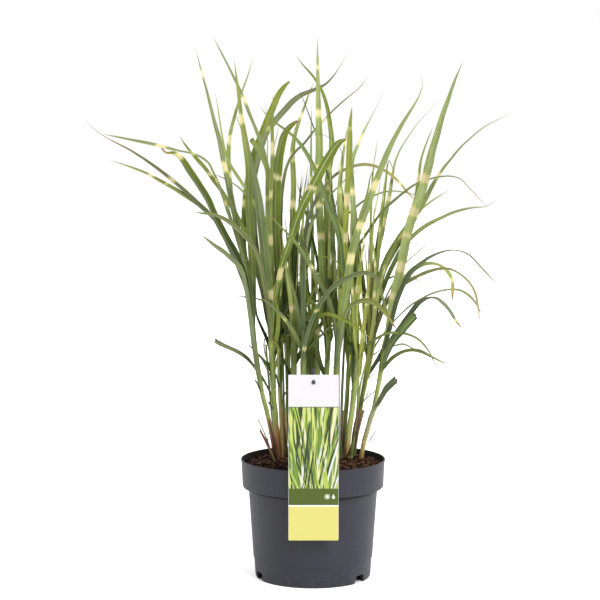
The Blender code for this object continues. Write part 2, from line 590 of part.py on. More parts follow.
def build_stem(stem, soil, parts, cutters):
    """Build a stem and the pocket that it stands in."""
    route = stem_route(stem)
    radii = stem_radii(stem, len(route))
    rod = tube(stem.name, route, radii, parts)
    finish(rod, stem.colour, 0.5)
    foot = (route[0] - route[1]).normalized()
    pocket_route = [route[0] + foot * TOUCH_GAP, route[1] - foot * ROOT_DEPTH]
    widest = radii[0] + TOUCH_GAP
    pocket = tube("pocket_" + stem.name, pocket_route, [widest, widest], cutters)
    as_cutter(pocket)
    cut(soil, [pocket])
    return rod


def smooth_step(share):
    """Ease from 0 to 1."""
    share = max(0.0, min(1.0, share))
    return share * share * (3.0 - 2.0 * share)


def blade_width(blade, share):
    """Return a blade's width at a share of its length from the collar."""
    base = BLADE_BASE_SHARE + (1.0 - BLADE_BASE_SHARE) * smooth_step(share / BLADE_WIDENS_BY)
    if blade.blunt:
        return blade.width * base
    taper = min(1.0, (1.0 - share) / BLADE_TAPERS_FROM) ** BLADE_TAPER_POWER
    return blade.width * base * taper


def between(values, share):
    """Read three values that belong to shares 0, a half and 1."""
    low, middle, high = values
    if share < 0.5:
        return low + (middle - low) * share * 2.0
    return middle + (high - middle) * (share - 0.5) * 2.0


def shares_along(points):
    """Return each point's share of the route's length."""
    total = [0.0]
    for first, second in zip(points, points[1:]):
        total.append(total[-1] + (Vector(second) - Vector(first)).length)
    return [value / total[-1] for value in total]


def depth_on_stem(stem, down):
    """Return a stem's depth in mm and radius in metres at a picture row."""
    points = stem.points
    radii = stem_radii(stem, len(points))
    for i in range(len(points) - 1):
        lower, upper = points[i], points[i + 1]
        if lower[1] >= down >= upper[1]:
            share = (lower[1] - down) / (lower[1] - upper[1])
            depth = lower[2] + (upper[2] - lower[2]) * share
            return depth, radii[i] + (radii[i + 1] - radii[i]) * share
    nearest = points[-1] if down < points[-1][1] else points[0]
    return nearest[2], stem.top_radius


def blade_route(blade, stem, lift):
    """Return a blade's route in metres, leaning from its stem towards its tip's depth."""
    shares = shares_along(blade.points)
    stem_depth, stem_radius = depth_on_stem(stem, blade.points[0][1])
    stand_off = stem_radius + BLADE_OFFSET + 0.5 * BLADE_FOLD * blade.width
    base = stem_depth / 1000.0 + blade.side * stand_off
    reach = blade.reach / 1000.0
    route = []
    for share, (across, down) in zip(shares, blade.points):
        lean = share ** LEAN_POWER
        follow = BASE_FOLLOWS + (1.0 - BASE_FOLLOWS) * smooth_step(share / FOLLOW_LENGTH)
        depth = base + (reach - base) * lean + lift * follow
        route.append(seen_from_eye(across, down, depth))
    return route


def blade_frames(blade, route):
    """Return (centre, sideways, upper face) at each point of a blade's route."""
    shares = shares_along(route)
    frames = []
    for i, centre in enumerate(route):
        before = route[max(0, i - 1)]
        after = route[min(len(route) - 1, i + 1)]
        along = (after - before).normalized()
        to_eye = EYE - centre
        to_eye -= along * along.dot(to_eye)
        to_eye.normalize()
        right = along.cross(to_eye)
        turn = math.radians(between(blade.turns, shares[i]))
        face = to_eye * math.cos(turn) + right * math.sin(turn)
        frames.append((centre, along.cross(face), face))
    return frames, shares


def blade_rings(blade, route, extra):
    """Return the folded four-point sections of a blade and its tip point."""
    frames, shares = blade_frames(blade, route)
    rings = []
    for (centre, sideways, face), share in zip(frames[:-1], shares[:-1]):
        width = blade_width(blade, share) + extra * 2.0
        thickness = min(BLADE_THICKNESS, TIP_THICKNESS_SHARE * width + TIP_THICKNESS)
        thickness += extra * 2.0
        fold = BLADE_FOLD * width
        rings.append([
            centre - sideways * width * 0.5,
            centre - face * (fold - thickness * 0.5),
            centre + sideways * width * 0.5,
            centre - face * (fold + thickness * 0.5),
        ])
    return rings, route[-1]


def loft(rings, tip):
    """Return a mesh that joins four-point rings, closed by the first ring and the tip."""
    bm = bmesh.new()
    rows = [[bm.verts.new(point) for point in ring] for ring in rings]
    apex = bm.verts.new(tip)
    for low, high in zip(rows, rows[1:]):
        for left, mid in ((0, 1), (0, 3)):
            bm.faces.new((low[left], low[mid], high[mid]))
            bm.faces.new((low[left], high[mid], high[left]))
        for right, mid in ((2, 1), (2, 3)):
            bm.faces.new((low[right], low[mid], high[mid]))
            bm.faces.new((low[right], high[mid], high[right]))
    last = rows[-1]
    for i in range(4):
        bm.faces.new((last[i], last[(i + 1) % 4], apex))
    first = rows[0]
    bm.faces.new((first[0], first[1], first[3]))
    bm.faces.new((first[1], first[2], first[3]))
    bmesh.ops.recalc_face_normals(bm, faces=bm.faces)
    mesh = bpy.data.meshes.new("blade")
    bm.to_mesh(mesh)
    bm.free()
    return mesh


def tree_of(mesh):
    """Return a search tree of a mesh's faces, in world space."""
    places = [vert.co.copy() for vert in mesh.vertices]
    faces = [tuple(face.vertices) for face in mesh.polygons]
    return BVHTree.FromPolygons(places, faces)


def lifts():
    """Yield depth shifts that grow in turn to the near and the far side."""
    yield 0.0
    for step in range(1, DEPTH_TRIES):
        yield -step * DEPTH_STEP
        yield step * DEPTH_STEP


def build_blade(blade, stems, placed, collection):
    """Build a blade at the first depth where it is clear of the pieces before it."""
    stem = stems[blade.stem]
    for lift in lifts():
        route = blade_route(blade, stem, lift)
        probe = loft(*blade_rings(blade, route, CLEARANCE))
        tree = tree_of(probe)
        bpy.data.meshes.remove(probe)
        if not any(tree.overlap(other) for other in placed):
            break
    else:
        raise ValueError("no free place for " + blade.name)
    mesh = loft(*blade_rings(blade, route, 0.0))
    placed.append(tree_of(mesh))
    thing = place_mesh(blade.name, mesh, collection)
    finish(thing, BLADE_COLOUR, 0.5)
    return thing


def rounded_card(width, height, corner):
    """Return the outline of an upright card as (across, up) points from its centre."""
    outline = []
    for quadrant, (sx, sy) in enumerate(((1, 1), (-1, 1), (-1, -1), (1, -1))):
        centre_x = sx * (width * 0.5 - corner)
        centre_y = sy * (height * 0.5 - corner)
        for step in range(LABEL_CORNER_STEPS + 1):
            angle = (quadrant + step / LABEL_CORNER_STEPS) * math.pi * 0.5
            outline.append((centre_x + corner * math.cos(angle),
                            centre_y + corner * math.sin(angle)))
    return outline


def build_label_card(collection):
    """Build the hang label, a thin card with one hole near its top."""
    height = LABEL_TOP_Z - LABEL_BOTTOM_Z
    curve = bpy.data.curves.new("label_card", "CURVE")
    curve.dimensions = "2D"
    curve.fill_mode = "BOTH"
    curve.extrude = LABEL_THICKNESS * 0.5
    hole_up = height * 0.5 - HOLE_BELOW_TOP
    angles = [i * math.tau / HOLE_SIDES for i in range(HOLE_SIDES)]
    hole = [(HOLE_RADIUS * math.cos(a), hole_up + HOLE_RADIUS * math.sin(a)) for a in angles]
    for outline in (rounded_card(LABEL_WIDTH, height, LABEL_CORNER), hole):
        spline = curve.splines.new("POLY")
        spline.points.add(len(outline) - 1)
        spline.use_cyclic_u = True
        for point, (across, up) in zip(spline.points, outline):
            point.co = (across, up, 0.0, 1.0)
    guide = bpy.data.objects.new("label_outline", curve)
    collection.objects.link(guide)
    bpy.context.view_layer.update()
    mesh = baked_mesh(guide)
    bpy.data.objects.remove(guide, do_unlink=True)
    for vert in mesh.vertices:
        across, up, out = vert.co
        vert.co = (across, LABEL_Y - out, (LABEL_TOP_Z + LABEL_BOTTOM_Z) * 0.5 + up)
    card = place_mesh("label_card", mesh, collection)
    finish(card, CARD_COLOUR, 0.35)
    return card


def build_stake(soil, parts, cutters):
    """Build the round stake, with the peg and button that carry the label."""
    rod_profile = [
        (0.0, STAKE_TOP_Z),
        (STAKE_RADIUS * 0.70, STAKE_TOP_Z - STAKE_RADIUS * 0.30),
        (STAKE_RADIUS, STAKE_TOP_Z - STAKE_RADIUS),
        (STAKE_RADIUS, STAKE_FOOT_Z + STAKE_POINT_LENGTH),
        (STAKE_POINT_RADIUS, STAKE_FOOT_Z),
        (0.0, STAKE_FOOT_Z),
    ]
    stake = turned("label_stake", rod_profile, STAKE_SIDES, parts)
    for vert in stake.data.vertices:
        vert.co.y += STAKE_Y
    front = LABEL_Y - LABEL_THICKNESS * 0.5
    button_back = front - TOUCH_GAP
    button_face = button_back - BUTTON_THICKNESS
    peg_profile = [
        (0.0, -button_face),
        (BUTTON_RADIUS * 0.8, -button_face),
        (BUTTON_RADIUS, -button_back - BUTTON_THICKNESS * 0.5),
        (BUTTON_RADIUS, -button_back),
        (PEG_RADIUS, -button_back),
        (PEG_RADIUS, PEG_ROOT_Y),
        (0.0, PEG_ROOT_Y),
    ]
    peg = turned("peg", peg_profile, PEG_SIDES, cutters)
    for vert in peg.data.vertices:
        across, aside, out = vert.co
        vert.co = (across, -out, LABEL_TOP_Z - HOLE_BELOW_TOP + aside)
    as_cutter(peg)
    join = stake.modifiers.new("peg", "BOOLEAN")
    join.operation = "UNION"
    join.solver = "MANIFOLD"
    join.object = peg
    finish(stake, STAKE_COLOUR, 0.4)

    hollow_profile = [
        (0.0, POT_HEIGHT + 0.01),
        (STAKE_RADIUS + TOUCH_GAP, POT_HEIGHT + 0.01),
        (STAKE_RADIUS + TOUCH_GAP, STAKE_FOOT_Z + STAKE_POINT_LENGTH),
        (STAKE_POINT_RADIUS + TOUCH_GAP, STAKE_FOOT_Z - TOUCH_GAP),
        (0.0, STAKE_FOOT_Z - TOUCH_GAP),
    ]
    hollow = turned("pocket_stake", hollow_profile, STAKE_SIDES, cutters)
    for vert in hollow.data.vertices:
        vert.co.y += STAKE_Y
    as_cutter(hollow)
    cut(soil, [hollow])
    return stake


def main():
    """Build every piece of the potted grass."""
    clear_scene()
    parts = new_collection("potted_miscanthus_grass")
    cutters = new_collection("cutters")
    build_pot(parts, cutters)
    soil = build_soil(soil_outline(), parts)
    card = build_label_card(parts)
    stake = build_stake(soil, parts, cutters)
    rods = [build_stem(stem, soil, parts, cutters) for stem in STEMS]
    bpy.context.view_layer.update()
    placed = [tree_of(baked_mesh(thing)) for thing in (card, stake, *rods)]
    stems = {stem.name: stem for stem in STEMS}
    for blade in BLADES:
        build_blade(blade, stems, placed, parts)


main()
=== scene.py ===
"""Scene of a potted clump of banded ornamental grass with its nursery pot and hang label.

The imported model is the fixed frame. Its culms, blades, pot, soil, card and stake are
replaced by finer pieces that stand in the same places, and the sheaths, thinner blades,
dry scraps and crumbs of soil are added. All sizes are in metres.
"""

import logging
import math
import random
from dataclasses import dataclass
from enum import Enum
from typing import ClassVar

import bmesh
import bpy
import numpy as np
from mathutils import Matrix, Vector, noise


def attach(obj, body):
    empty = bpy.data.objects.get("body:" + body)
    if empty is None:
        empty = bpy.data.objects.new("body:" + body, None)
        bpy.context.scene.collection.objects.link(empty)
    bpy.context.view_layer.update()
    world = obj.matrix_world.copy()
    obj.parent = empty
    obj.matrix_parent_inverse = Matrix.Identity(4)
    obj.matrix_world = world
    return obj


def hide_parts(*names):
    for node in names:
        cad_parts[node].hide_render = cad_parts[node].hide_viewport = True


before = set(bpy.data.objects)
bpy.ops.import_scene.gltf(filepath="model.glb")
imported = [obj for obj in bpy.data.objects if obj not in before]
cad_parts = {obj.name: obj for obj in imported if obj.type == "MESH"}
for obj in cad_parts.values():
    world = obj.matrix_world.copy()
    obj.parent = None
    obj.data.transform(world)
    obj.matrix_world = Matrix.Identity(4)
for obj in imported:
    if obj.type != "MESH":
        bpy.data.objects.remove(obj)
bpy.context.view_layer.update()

LOG = logging.getLogger("grass")

ROOT_BODY = "root"

Track = tuple[tuple[float, float], ...]
Spans = tuple[tuple[float, float], ...]
Spots = tuple[tuple[float, float, float], ...]
Colour = tuple[float, float, float]


class Tone(Enum):
    """Leaf and skin tones as display colours out of 255."""

    SLATE = (92, 106, 72)
    MIST = (112, 121, 88)
    GLAUCOUS = (124, 133, 85)
    SAGE = (156, 166, 102)
    FRESH = (142, 152, 80)
    VIVID = (122, 145, 48)
    LIME = (150, 159, 62)
    BRIGHT = (119, 133, 31)
    LEAF = (112, 131, 62)
    DEEP = (74, 94, 42)
    SHADE = (50, 68, 30)
    PALE = (163, 170, 99)
    DRY_PINK = (168, 128, 106)
    DRY_ORANGE = (186, 128, 82)
    DRY_GREY = (124, 97, 88)
    DRY_DARK = (86, 58, 47)
    DRY_TAN = (170, 140, 113)
    STRAW = (165, 145, 92)
    UMBER = (134, 122, 90)
    GOLD = (176, 152, 62)

    def linear(self) -> np.ndarray:
        """Return the tone as linear light."""
        return linear(self.value)


def linear(display: tuple[float, ...]) -> np.ndarray:
    """Return a display colour out of 255 as linear light.

    Args:
        display: Red, green and blue from 0 to 255.

    Returns:
        The three linear values.
    """
    share = np.asarray(display, float) / 255.0
    return np.where(share <= 0.04045, share / 12.92, ((share + 0.055) / 1.055) ** 2.4)


def unit(vectors: np.ndarray) -> np.ndarray:
    """Return vectors scaled to length one.

    Args:
        vectors: Any array whose last axis is x, y, z.

    Returns:
        An array of the same shape.
    """
    lengths = np.linalg.norm(vectors, axis=-1, keepdims=True)
    return vectors / np.maximum(lengths, 1e-12)


def square_to(vectors: np.ndarray, lines: np.ndarray) -> np.ndarray:
    """Return vectors turned square to lines of length one, and scaled to length one."""
    return unit(vectors - lines * (vectors * lines).sum(axis=1, keepdims=True))


def bent(share: object, low: np.ndarray, low_slope: np.ndarray, high: np.ndarray,
         high_slope: np.ndarray) -> np.ndarray:
    """Read a smooth curve between two ends.

    Args:
        share: How far along it, from 0 to 1.
        low: The first end.
        low_slope: The curve's slope there.
        high: The second end.
        high_slope: The curve's slope there.

    Returns:
        The curve's value.
    """
    square, cube = share ** 2, share ** 3
    return ((2.0 * cube - 3.0 * square + 1.0) * low + (cube - 2.0 * square + share) * low_slope
            + (3.0 * square - 2.0 * cube) * high + (cube - square) * high_slope)


def eased(values: np.ndarray, at: np.ndarray, wanted: np.ndarray) -> np.ndarray:
    """Read a smooth curve through values that belong to rising positions.

    Args:
        values: One value or vector per position.
        at: The positions, rising.
        wanted: The positions to read.

    Returns:
        One value or vector per wanted position.
    """
    slopes = np.gradient(values, at, axis=0)
    index = np.clip(np.searchsorted(at, wanted, side="right") - 1, 0, len(at) - 2)
    span = at[index + 1] - at[index]
    share = (wanted - at[index]) / span
    if values.ndim > 1:
        span = span[:, None]
        share = share[:, None]
    return bent(share, values[index], span * slopes[index], values[index + 1],
                span * slopes[index + 1])


def along(points: np.ndarray) -> np.ndarray:
    """Return each point's distance from the first along the line through them."""
    steps = np.linalg.norm(np.diff(points, axis=0), axis=1)
    return np.concatenate(([0.0], np.cumsum(steps)))


@dataclass(frozen=True)
class Sight:
    """The photograph's eye: its place, how far it looks down, and its focal length in pixels."""

    place: tuple[float, float, float] = (-0.0172, -2.5, 0.6145)
    pitch: float = math.radians(5.65)
    focal: float = 1914.0
    centre: float = 300.0
    sensor: float = 36.0
    far: float = 60.0

    def axes(self) -> tuple[np.ndarray, np.ndarray]:
        """Return the directions ahead of the eye and above it."""
        across, up = math.cos(self.pitch), math.sin(self.pitch)
        return np.array((0.0, across, -up)), np.array((0.0, up, across))

    def towards(self, places: np.ndarray) -> np.ndarray:
        """Return the direction from each place to the eye."""
        return unit(np.array(self.place) - places)

    def point(self, across: float, down: float, depth: float) -> np.ndarray:
        """Return the place seen at a pixel, at a distance behind the pot's axis.

        Args:
            across: Pixel column.
            down: Pixel row.
            depth: Distance behind the pot's axis, towards +Y.

        Returns:
            The place as x, y, z.
        """
        ahead, above = self.axes()
        ray = ahead * self.focal + np.array((across - self.centre, 0.0, 0.0))
        ray = ray + above * (self.centre - down)
        return np.array(self.place) + ray * ((depth - self.place[1]) / ray[1])

    def picture(self, places: np.ndarray) -> np.ndarray:
        """Return the pixel column and row at which each place is seen.

        Args:
            places: Places as rows of x, y, z.

        Returns:
            Rows of column and row.
        """
        ahead, above = self.axes()
        offset = places - np.array(self.place)
        distance = offset @ ahead
        column = self.centre + self.focal * offset[:, 0] / distance
        row = self.centre - self.focal * (offset @ above) / distance
        return np.stack((column, row), axis=1)

    def place_camera(self) -> None:
        """Put the scene's camera at the eye."""
        data = bpy.data.cameras.new("camera")
        data.sensor_width = self.sensor
        data.lens = self.focal / (2.0 * self.centre) * self.sensor
        data.clip_end = self.far
        camera = bpy.data.objects.new("camera", data)
        camera.location = self.place
        camera.rotation_euler = (math.pi / 2.0 - self.pitch, 0.0, 0.0)
        bpy.context.scene.collection.objects.link(camera)
        bpy.context.scene.camera = camera


SIGHT = Sight()


class Bench:
    """Lays out the nodes of one shader tree."""

    def __init__(self, tree: bpy.types.NodeTree) -> None:
        """Keep the tree that the nodes go into."""
        self.tree = tree

    def feed(self, socket: bpy.types.NodeSocket, value: object) -> None:
        """Join an output to an input socket, or set the socket's value.

        Args:
            socket: The input.
            value: An output socket, a number, or a tuple.
        """
        if isinstance(value, bpy.types.NodeSocket):
            self.tree.links.new(value, socket)
        elif isinstance(value, tuple) and len(value) == 3 and socket.type == "RGBA":
            socket.default_value = (*value, 1.0)
        else:
            socket.default_value = value

    def node(self, kind: str, inputs: dict[str | int, object],
             **settings: object) -> bpy.types.NodeOutputs:
        """Add a node.

        Args:
            kind: Blender's name of the node type.
            inputs: Values or sockets by the input's name or number.
            settings: Properties of the node.

        Returns:
            The node's outputs.
        """
        made = self.tree.nodes.new(kind)
        for name, value in settings.items():
            setattr(made, name, value)
        for key, value in inputs.items():
            self.feed(made.inputs[key], value)
        return made.outputs

    def shade(self, colour: object, rough: object, height: object, relief: float,
              strength: float, **more: object) -> None:
        """Feed the Principled node of a material's tree.

        Args:
            colour: The base colour or its socket.
            rough: The roughness or its socket.
            height: Socket of the small relief's value.
            relief: The relief's full height.
            strength: How strongly it shows, from 0 to 1.
            more: Other inputs by name, with _ for a space.
        """
        shader = self.tree.nodes["Principled BSDF"]
        relief_inputs = {"Strength": strength, "Distance": relief, "Height": height}
        inputs = {"Base Color": colour, "Roughness": rough,
                  "Normal": self.node("ShaderNodeBump", relief_inputs)[0]}
        inputs.update((label.replace("_", " "), value) for label, value in more.items())
        for label, value in inputs.items():
            self.feed(shader.inputs[label], value)

    def math(self, operation: str, *values: object) -> bpy.types.NodeSocket:
        """Return the result of a Math node on one to three values."""
        inputs = dict(enumerate(values))
        return self.node("ShaderNodeMath", inputs, operation=operation)[0]

    def mix(self, share: object, first: object, second: object) -> bpy.types.NodeSocket:
        """Return a mix of two colours, with a share of the second."""
        inputs = {0: share, 6: first, 7: second}
        return self.node("ShaderNodeMix", inputs, data_type="RGBA")[2]

    def layered(self, colour: object, *layers: tuple[object, object]) -> object:
        """Lay colours over a colour, one after another.

        Args:
            colour: The lowest colour or socket.
            layers: Pairs of a mask and the colour that it lets through.

        Returns:
            The last mix.
        """
        for mask, paint in layers:
            colour = self.mix(mask, colour, paint)
        return colour

    def soft_step(self, value: object, low: object, high: object,
                  start: object = 0.0, end: object = 1.0) -> bpy.types.NodeSocket:
        """Ease a value from one level to another.

        Args:
            value: The value or socket read.
            low: Where the easing starts.
            high: Where it ends.
            start: The level at and before low.
            end: The level at and past high.

        Returns:
            The eased value's socket.
        """
        inputs = dict(enumerate((value, low, high, start, end)))
        return self.node("ShaderNodeMapRange", inputs, interpolation_type="SMOOTHSTEP")[0]

    def stretched(self, place: object, factors: tuple[float, float, float]) -> bpy.types.NodeSocket:
        """Return a coordinate with each axis multiplied."""
        return self.node("ShaderNodeVectorMath", {0: place, 1: factors}, operation="MULTIPLY")[0]

    def scaled(self, colour: object, factor: object) -> bpy.types.NodeSocket:
        """Return a colour times a number."""
        inputs = {0: colour, "Scale": factor}
        return self.node("ShaderNodeVectorMath", inputs, operation="SCALE")[0]

    def varied(self, noise_value: object, gain: float, base: object = 1.0) -> bpy.types.NodeSocket:
        """Return a base that a noise from 0 to 1 lifts and lowers by half a gain."""
        away = self.math("SUBTRACT", noise_value, 0.5)
        return self.math("MULTIPLY_ADD", away, gain, base)

    def noise(self, place: object, scale: object, detail: float = 2.0,
              rough: float = 0.5) -> bpy.types.NodeSocket:
        """Return cloudy noise from 0 to 1.

        Args:
            place: The coordinate socket.
            scale: Lumps per unit of the coordinate, or one such number for each axis.
            detail: Octaves added.
            rough: Strength of the octaves.

        Returns:
            The value socket.
        """
        if isinstance(scale, tuple):
            place, scale = self.stretched(place, scale), 1.0
        return self.node("ShaderNodeTexNoise", {"Vector": place, "Scale": scale,
                                                "Detail": detail, "Roughness": rough})[0]

    def cells(self, place: object, scale: float) -> bpy.types.NodeSocket:
        """Return the distance to the nearest of scattered points."""
        return self.node("ShaderNodeTexVoronoi", {"Vector": place, "Scale": scale})["Distance"]

    def length(self, first: object, second: object) -> bpy.types.NodeSocket:
        """Return the length of two sides at a right angle, joined."""
        square = self.math("MULTIPLY", second, second)
        return self.math("SQRT", self.math("MULTIPLY_ADD", first, first, square))

    def vector(self, *values: object) -> bpy.types.NodeSocket:
        """Join three values into a vector."""
        return self.node("ShaderNodeCombineXYZ", dict(enumerate(values)))[0]

    def split(self, place: object) -> tuple[bpy.types.NodeSocket, ...]:
        """Split a vector into its three values."""
        return tuple(self.node("ShaderNodeSeparateXYZ", {0: place}))

    def attribute(self, name: str) -> bpy.types.NodeOutputs:
        """Return the outputs of a node that reads a named value of the mesh."""
        return self.node("ShaderNodeAttribute", {}, attribute_name=name)

    def place(self) -> bpy.types.NodeSocket:
        """Return the coordinate in the shared frame."""
        return self.node("ShaderNodeTexCoord", {})["Object"]

    def camera_ray(self) -> bpy.types.NodeSocket:
        """Return 1 for what the eye sees directly."""
        return self.node("ShaderNodeLightPath", {})["Is Camera Ray"]


class Effect:
    """A shader node group with named inputs and outputs, built once."""

    OUTPUTS: dict[str, str] = {"Color": "NodeSocketColor", "Roughness": "NodeSocketFloat",
                               "Height": "NodeSocketFloat"}

    def __init__(self, name: str, inputs: dict[str, object]) -> None:
        """Make the group and its sockets.

        Args:
            name: The group's name.
            inputs: Name and default of each input; a tuple is a colour.
        """
        self.tree = bpy.data.node_groups.new(name, "ShaderNodeTree")
        for label, default in inputs.items():
            kind = "NodeSocketColor" if isinstance(default, tuple) else "NodeSocketFloat"
            socket = self.tree.interface.new_socket(label, in_out="INPUT", socket_type=kind)
            socket.default_value = default
        for label, kind in self.OUTPUTS.items():
            self.tree.interface.new_socket(label, in_out="OUTPUT", socket_type=kind)
        self.bench = Bench(self.tree)
        self.read = self.bench.node("NodeGroupInput", {})

    def write(self, colour: object, rough: object, height: object) -> None:
        """Feed the group's three outputs."""
        values = dict(zip(self.OUTPUTS, (colour, rough, height)))
        self.bench.node("NodeGroupOutput", values)

    def placed(self, bench: Bench, values: dict[str, object]) -> bpy.types.NodeOutputs:
        """Place the group in a material, fed with values or sockets by the input's name."""
        return bench.node("ShaderNodeGroup", values, node_tree=self.tree)


class LeafSurface(Effect):
    """Veins, midrib, pale bands and dry tip of a grass leaf."""

    CREAM: Colour = (0.70, 0.62, 0.32)
    BAND_EDGE: Colour = (0.42, 0.46, 0.13)
    GOLD: Colour = (0.48, 0.29, 0.08)
    WITHERED: Colour = (0.20, 0.095, 0.06)
    RIB: Colour = (0.72, 0.76, 0.56)
    UNDERSIDE: Colour = (0.26, 0.33, 0.20)
    MARGIN: Colour = (0.42, 0.47, 0.17)
    SPECK: Colour = (0.20, 0.13, 0.06)
    SEED_SPREAD: float = 37.0

    def __init__(self) -> None:
        """Build the group."""
        super().__init__("leaf_surface", {
            "Tone": (0.2, 0.3, 0.1, 1.0), "Across": 0.0, "Along": 0.0, "Seed": 0.0,
            "Band": 1.0, "Tip": 1.0, "Rib": 0.3, "Dry": 0.0, "Side": 1.0})
        bench, read = self.bench, self.read
        place = bench.vector(read["Across"], read["Along"],
                             bench.math("MULTIPLY", read["Seed"], self.SEED_SPREAD))
        veins = bench.noise(place, (9.0, 14.0, 1.0), 3.0, 0.6)
        fine = bench.noise(place, (26.0, 9.0, 1.0), 1.0)
        cloud = bench.noise(place, (0.8, 30.0, 1.0))
        jag = bench.noise(place, (4.5, 25.0, 1.0), 3.0, 0.65)
        fibre = bench.noise(place, (14.0, 22.0, 1.0), 4.0, 0.7)
        speck = bench.cells(bench.stretched(place, (3.0, 210.0, 1.0)), 0.55)
        away = bench.math("ABSOLUTE", read["Across"])
        lit = bench.varied(cloud, 0.9, bench.varied(fine, 0.36, bench.varied(veins, 0.65)))
        edge = bench.varied(jag, 0.016, read["Band"])
        worn = bench.varied(veins, 0.010, read["Tip"])
        streak = bench.soft_step(fine, 0.62, 0.70, 1.0, 0.55)
        husk = bench.scaled(read["Tone"], bench.varied(fibre, 2.4))
        colour = bench.layered(
            bench.scaled(read["Tone"], lit),
            (bench.soft_step(read["Side"], -0.2, -0.6, 0.0, 0.30), self.UNDERSIDE),
            (bench.soft_step(away, 0.10, 0.03, 0.0, read["Rib"]), self.RIB),
            (bench.soft_step(away, 0.86, 1.0, 0.0, 0.30), self.MARGIN),
            (bench.soft_step(edge, 0.0028, -0.0002, 0.0, 0.8), self.BAND_EDGE),
            (bench.soft_step(edge, 0.0004, -0.0022, 0.0, streak), self.CREAM),
            (bench.soft_step(worn, 0.017, 0.006, 0.0, 0.75), self.GOLD),
            (bench.soft_step(worn, 0.009, 0.002, 0.0, 0.85), self.WITHERED),
            (bench.soft_step(speck, 0.11, 0.05, 0.0, 0.55), self.SPECK),
            (read["Dry"], husk))
        rough = bench.math("MULTIPLY_ADD", read["Dry"], 0.25,
                           bench.math("MULTIPLY_ADD", veins, 0.16, 0.40))
        relief = bench.math("MULTIPLY_ADD", fine, 0.6, bench.math("MULTIPLY", veins, 0.4))
        self.write(colour, rough, relief)


class DustAndScuffs(Effect):
    """Fine grain, scuffs and settled dust of handled plastic."""

    SCUFFED: Colour = (0.30, 0.30, 0.32)

    def __init__(self) -> None:
        """Build the group."""
        super().__init__("dust_and_scuffs", {
            "Base": (0.1, 0.1, 0.1, 1.0), "Dirt": (0.3, 0.2, 0.1, 1.0), "Dust": 0.3,
            "Scuffs": 0.3, "Grain": 900.0})
        bench, read = self.bench, self.read
        place = bench.place()
        cloud = bench.noise(place, 22.0, 4.0, 0.6)
        grain = bench.noise(place, read["Grain"])
        runs = bench.noise(place, (70.0, 70.0, 9.0), 3.0, 0.6)
        scratches = bench.soft_step(bench.noise(place, (60.0, 60.0, 900.0)), 0.66, 0.74)
        scuffs = bench.soft_step(cloud, 0.50, 0.66, 0.0, scratches)
        lift = bench.varied(runs, 0.20, bench.varied(grain, 0.25, bench.varied(cloud, 0.30)))
        film = bench.soft_step(runs, 0.45, 0.75, 0.0, read["Dust"])
        colour = bench.layered(
            bench.scaled(read["Base"], lift),
            (bench.math("MULTIPLY", scuffs, read["Scuffs"]), self.SCUFFED),
            (film, read["Dirt"]))
        rough = bench.math("MULTIPLY_ADD", cloud, 0.16, 0.36)
        self.write(colour, bench.math("MULTIPLY_ADD", film, 0.35, rough), grain)


class PeatGrain(Effect):
    """Crumbly variation of peat, bark and root fibre."""

    def __init__(self) -> None:
        """Build the group."""
        super().__init__("peat_grain", {
            "Dark": (0.015, 0.009, 0.006, 1.0), "Light": (0.09, 0.05, 0.03, 1.0),
            "Scale": 260.0})
        bench, read = self.bench, self.read
        place = bench.place()
        crumbs = bench.noise(place, read["Scale"], 5.0, 0.65)
        share = bench.soft_step(crumbs, 0.38, 0.68)
        rough = bench.soft_step(bench.noise(place, 35.0), 0.35, 0.65, 0.62, 0.95)
        self.write(bench.mix(share, read["Dark"], read["Light"]), rough, crumbs)


class Effects:
    """The node groups that the materials share."""

    def __init__(self) -> None:
        """Build each group once."""
        self.leaf = LeafSurface()
        self.dust = DustAndScuffs()
        self.peat = PeatGrain()


def new_material(name: str) -> tuple[bpy.types.Material, Bench]:
    """Start a node material.

    Args:
        name: The material's name.

    Returns:
        The material, and the bench for its tree.
    """
    material = bpy.data.materials.new(name)
    material.use_nodes = True
    return material, Bench(material.node_tree)


@dataclass(frozen=True)
class LeafFinish:
    """Satin living or dry leaf tissue, coloured by values kept on the mesh."""

    name: str = "leaf_tissue"
    specular: float = 0.2
    relief: float = 0.00005

    def material(self, effects: Effects) -> bpy.types.Material:
        """Build the material.

        Args:
            effects: The shared node groups.

        Returns:
            The material.
        """
        material, bench = new_material(self.name)
        values = {"Tone": bench.attribute("tone")["Color"]}
        for key, labels in (("leaf", ("Across", "Along", "Seed")),
                            ("finish", ("Rib", "Dry", "Side")), ("marks", ("Band", "Tip"))):
            values.update(zip(labels, bench.split(bench.attribute(key)["Vector"])))
        surface = effects.leaf.placed(bench, values)
        bench.shade(*surface, self.relief, 0.5, Specular_IOR_Level=self.specular)
        return material


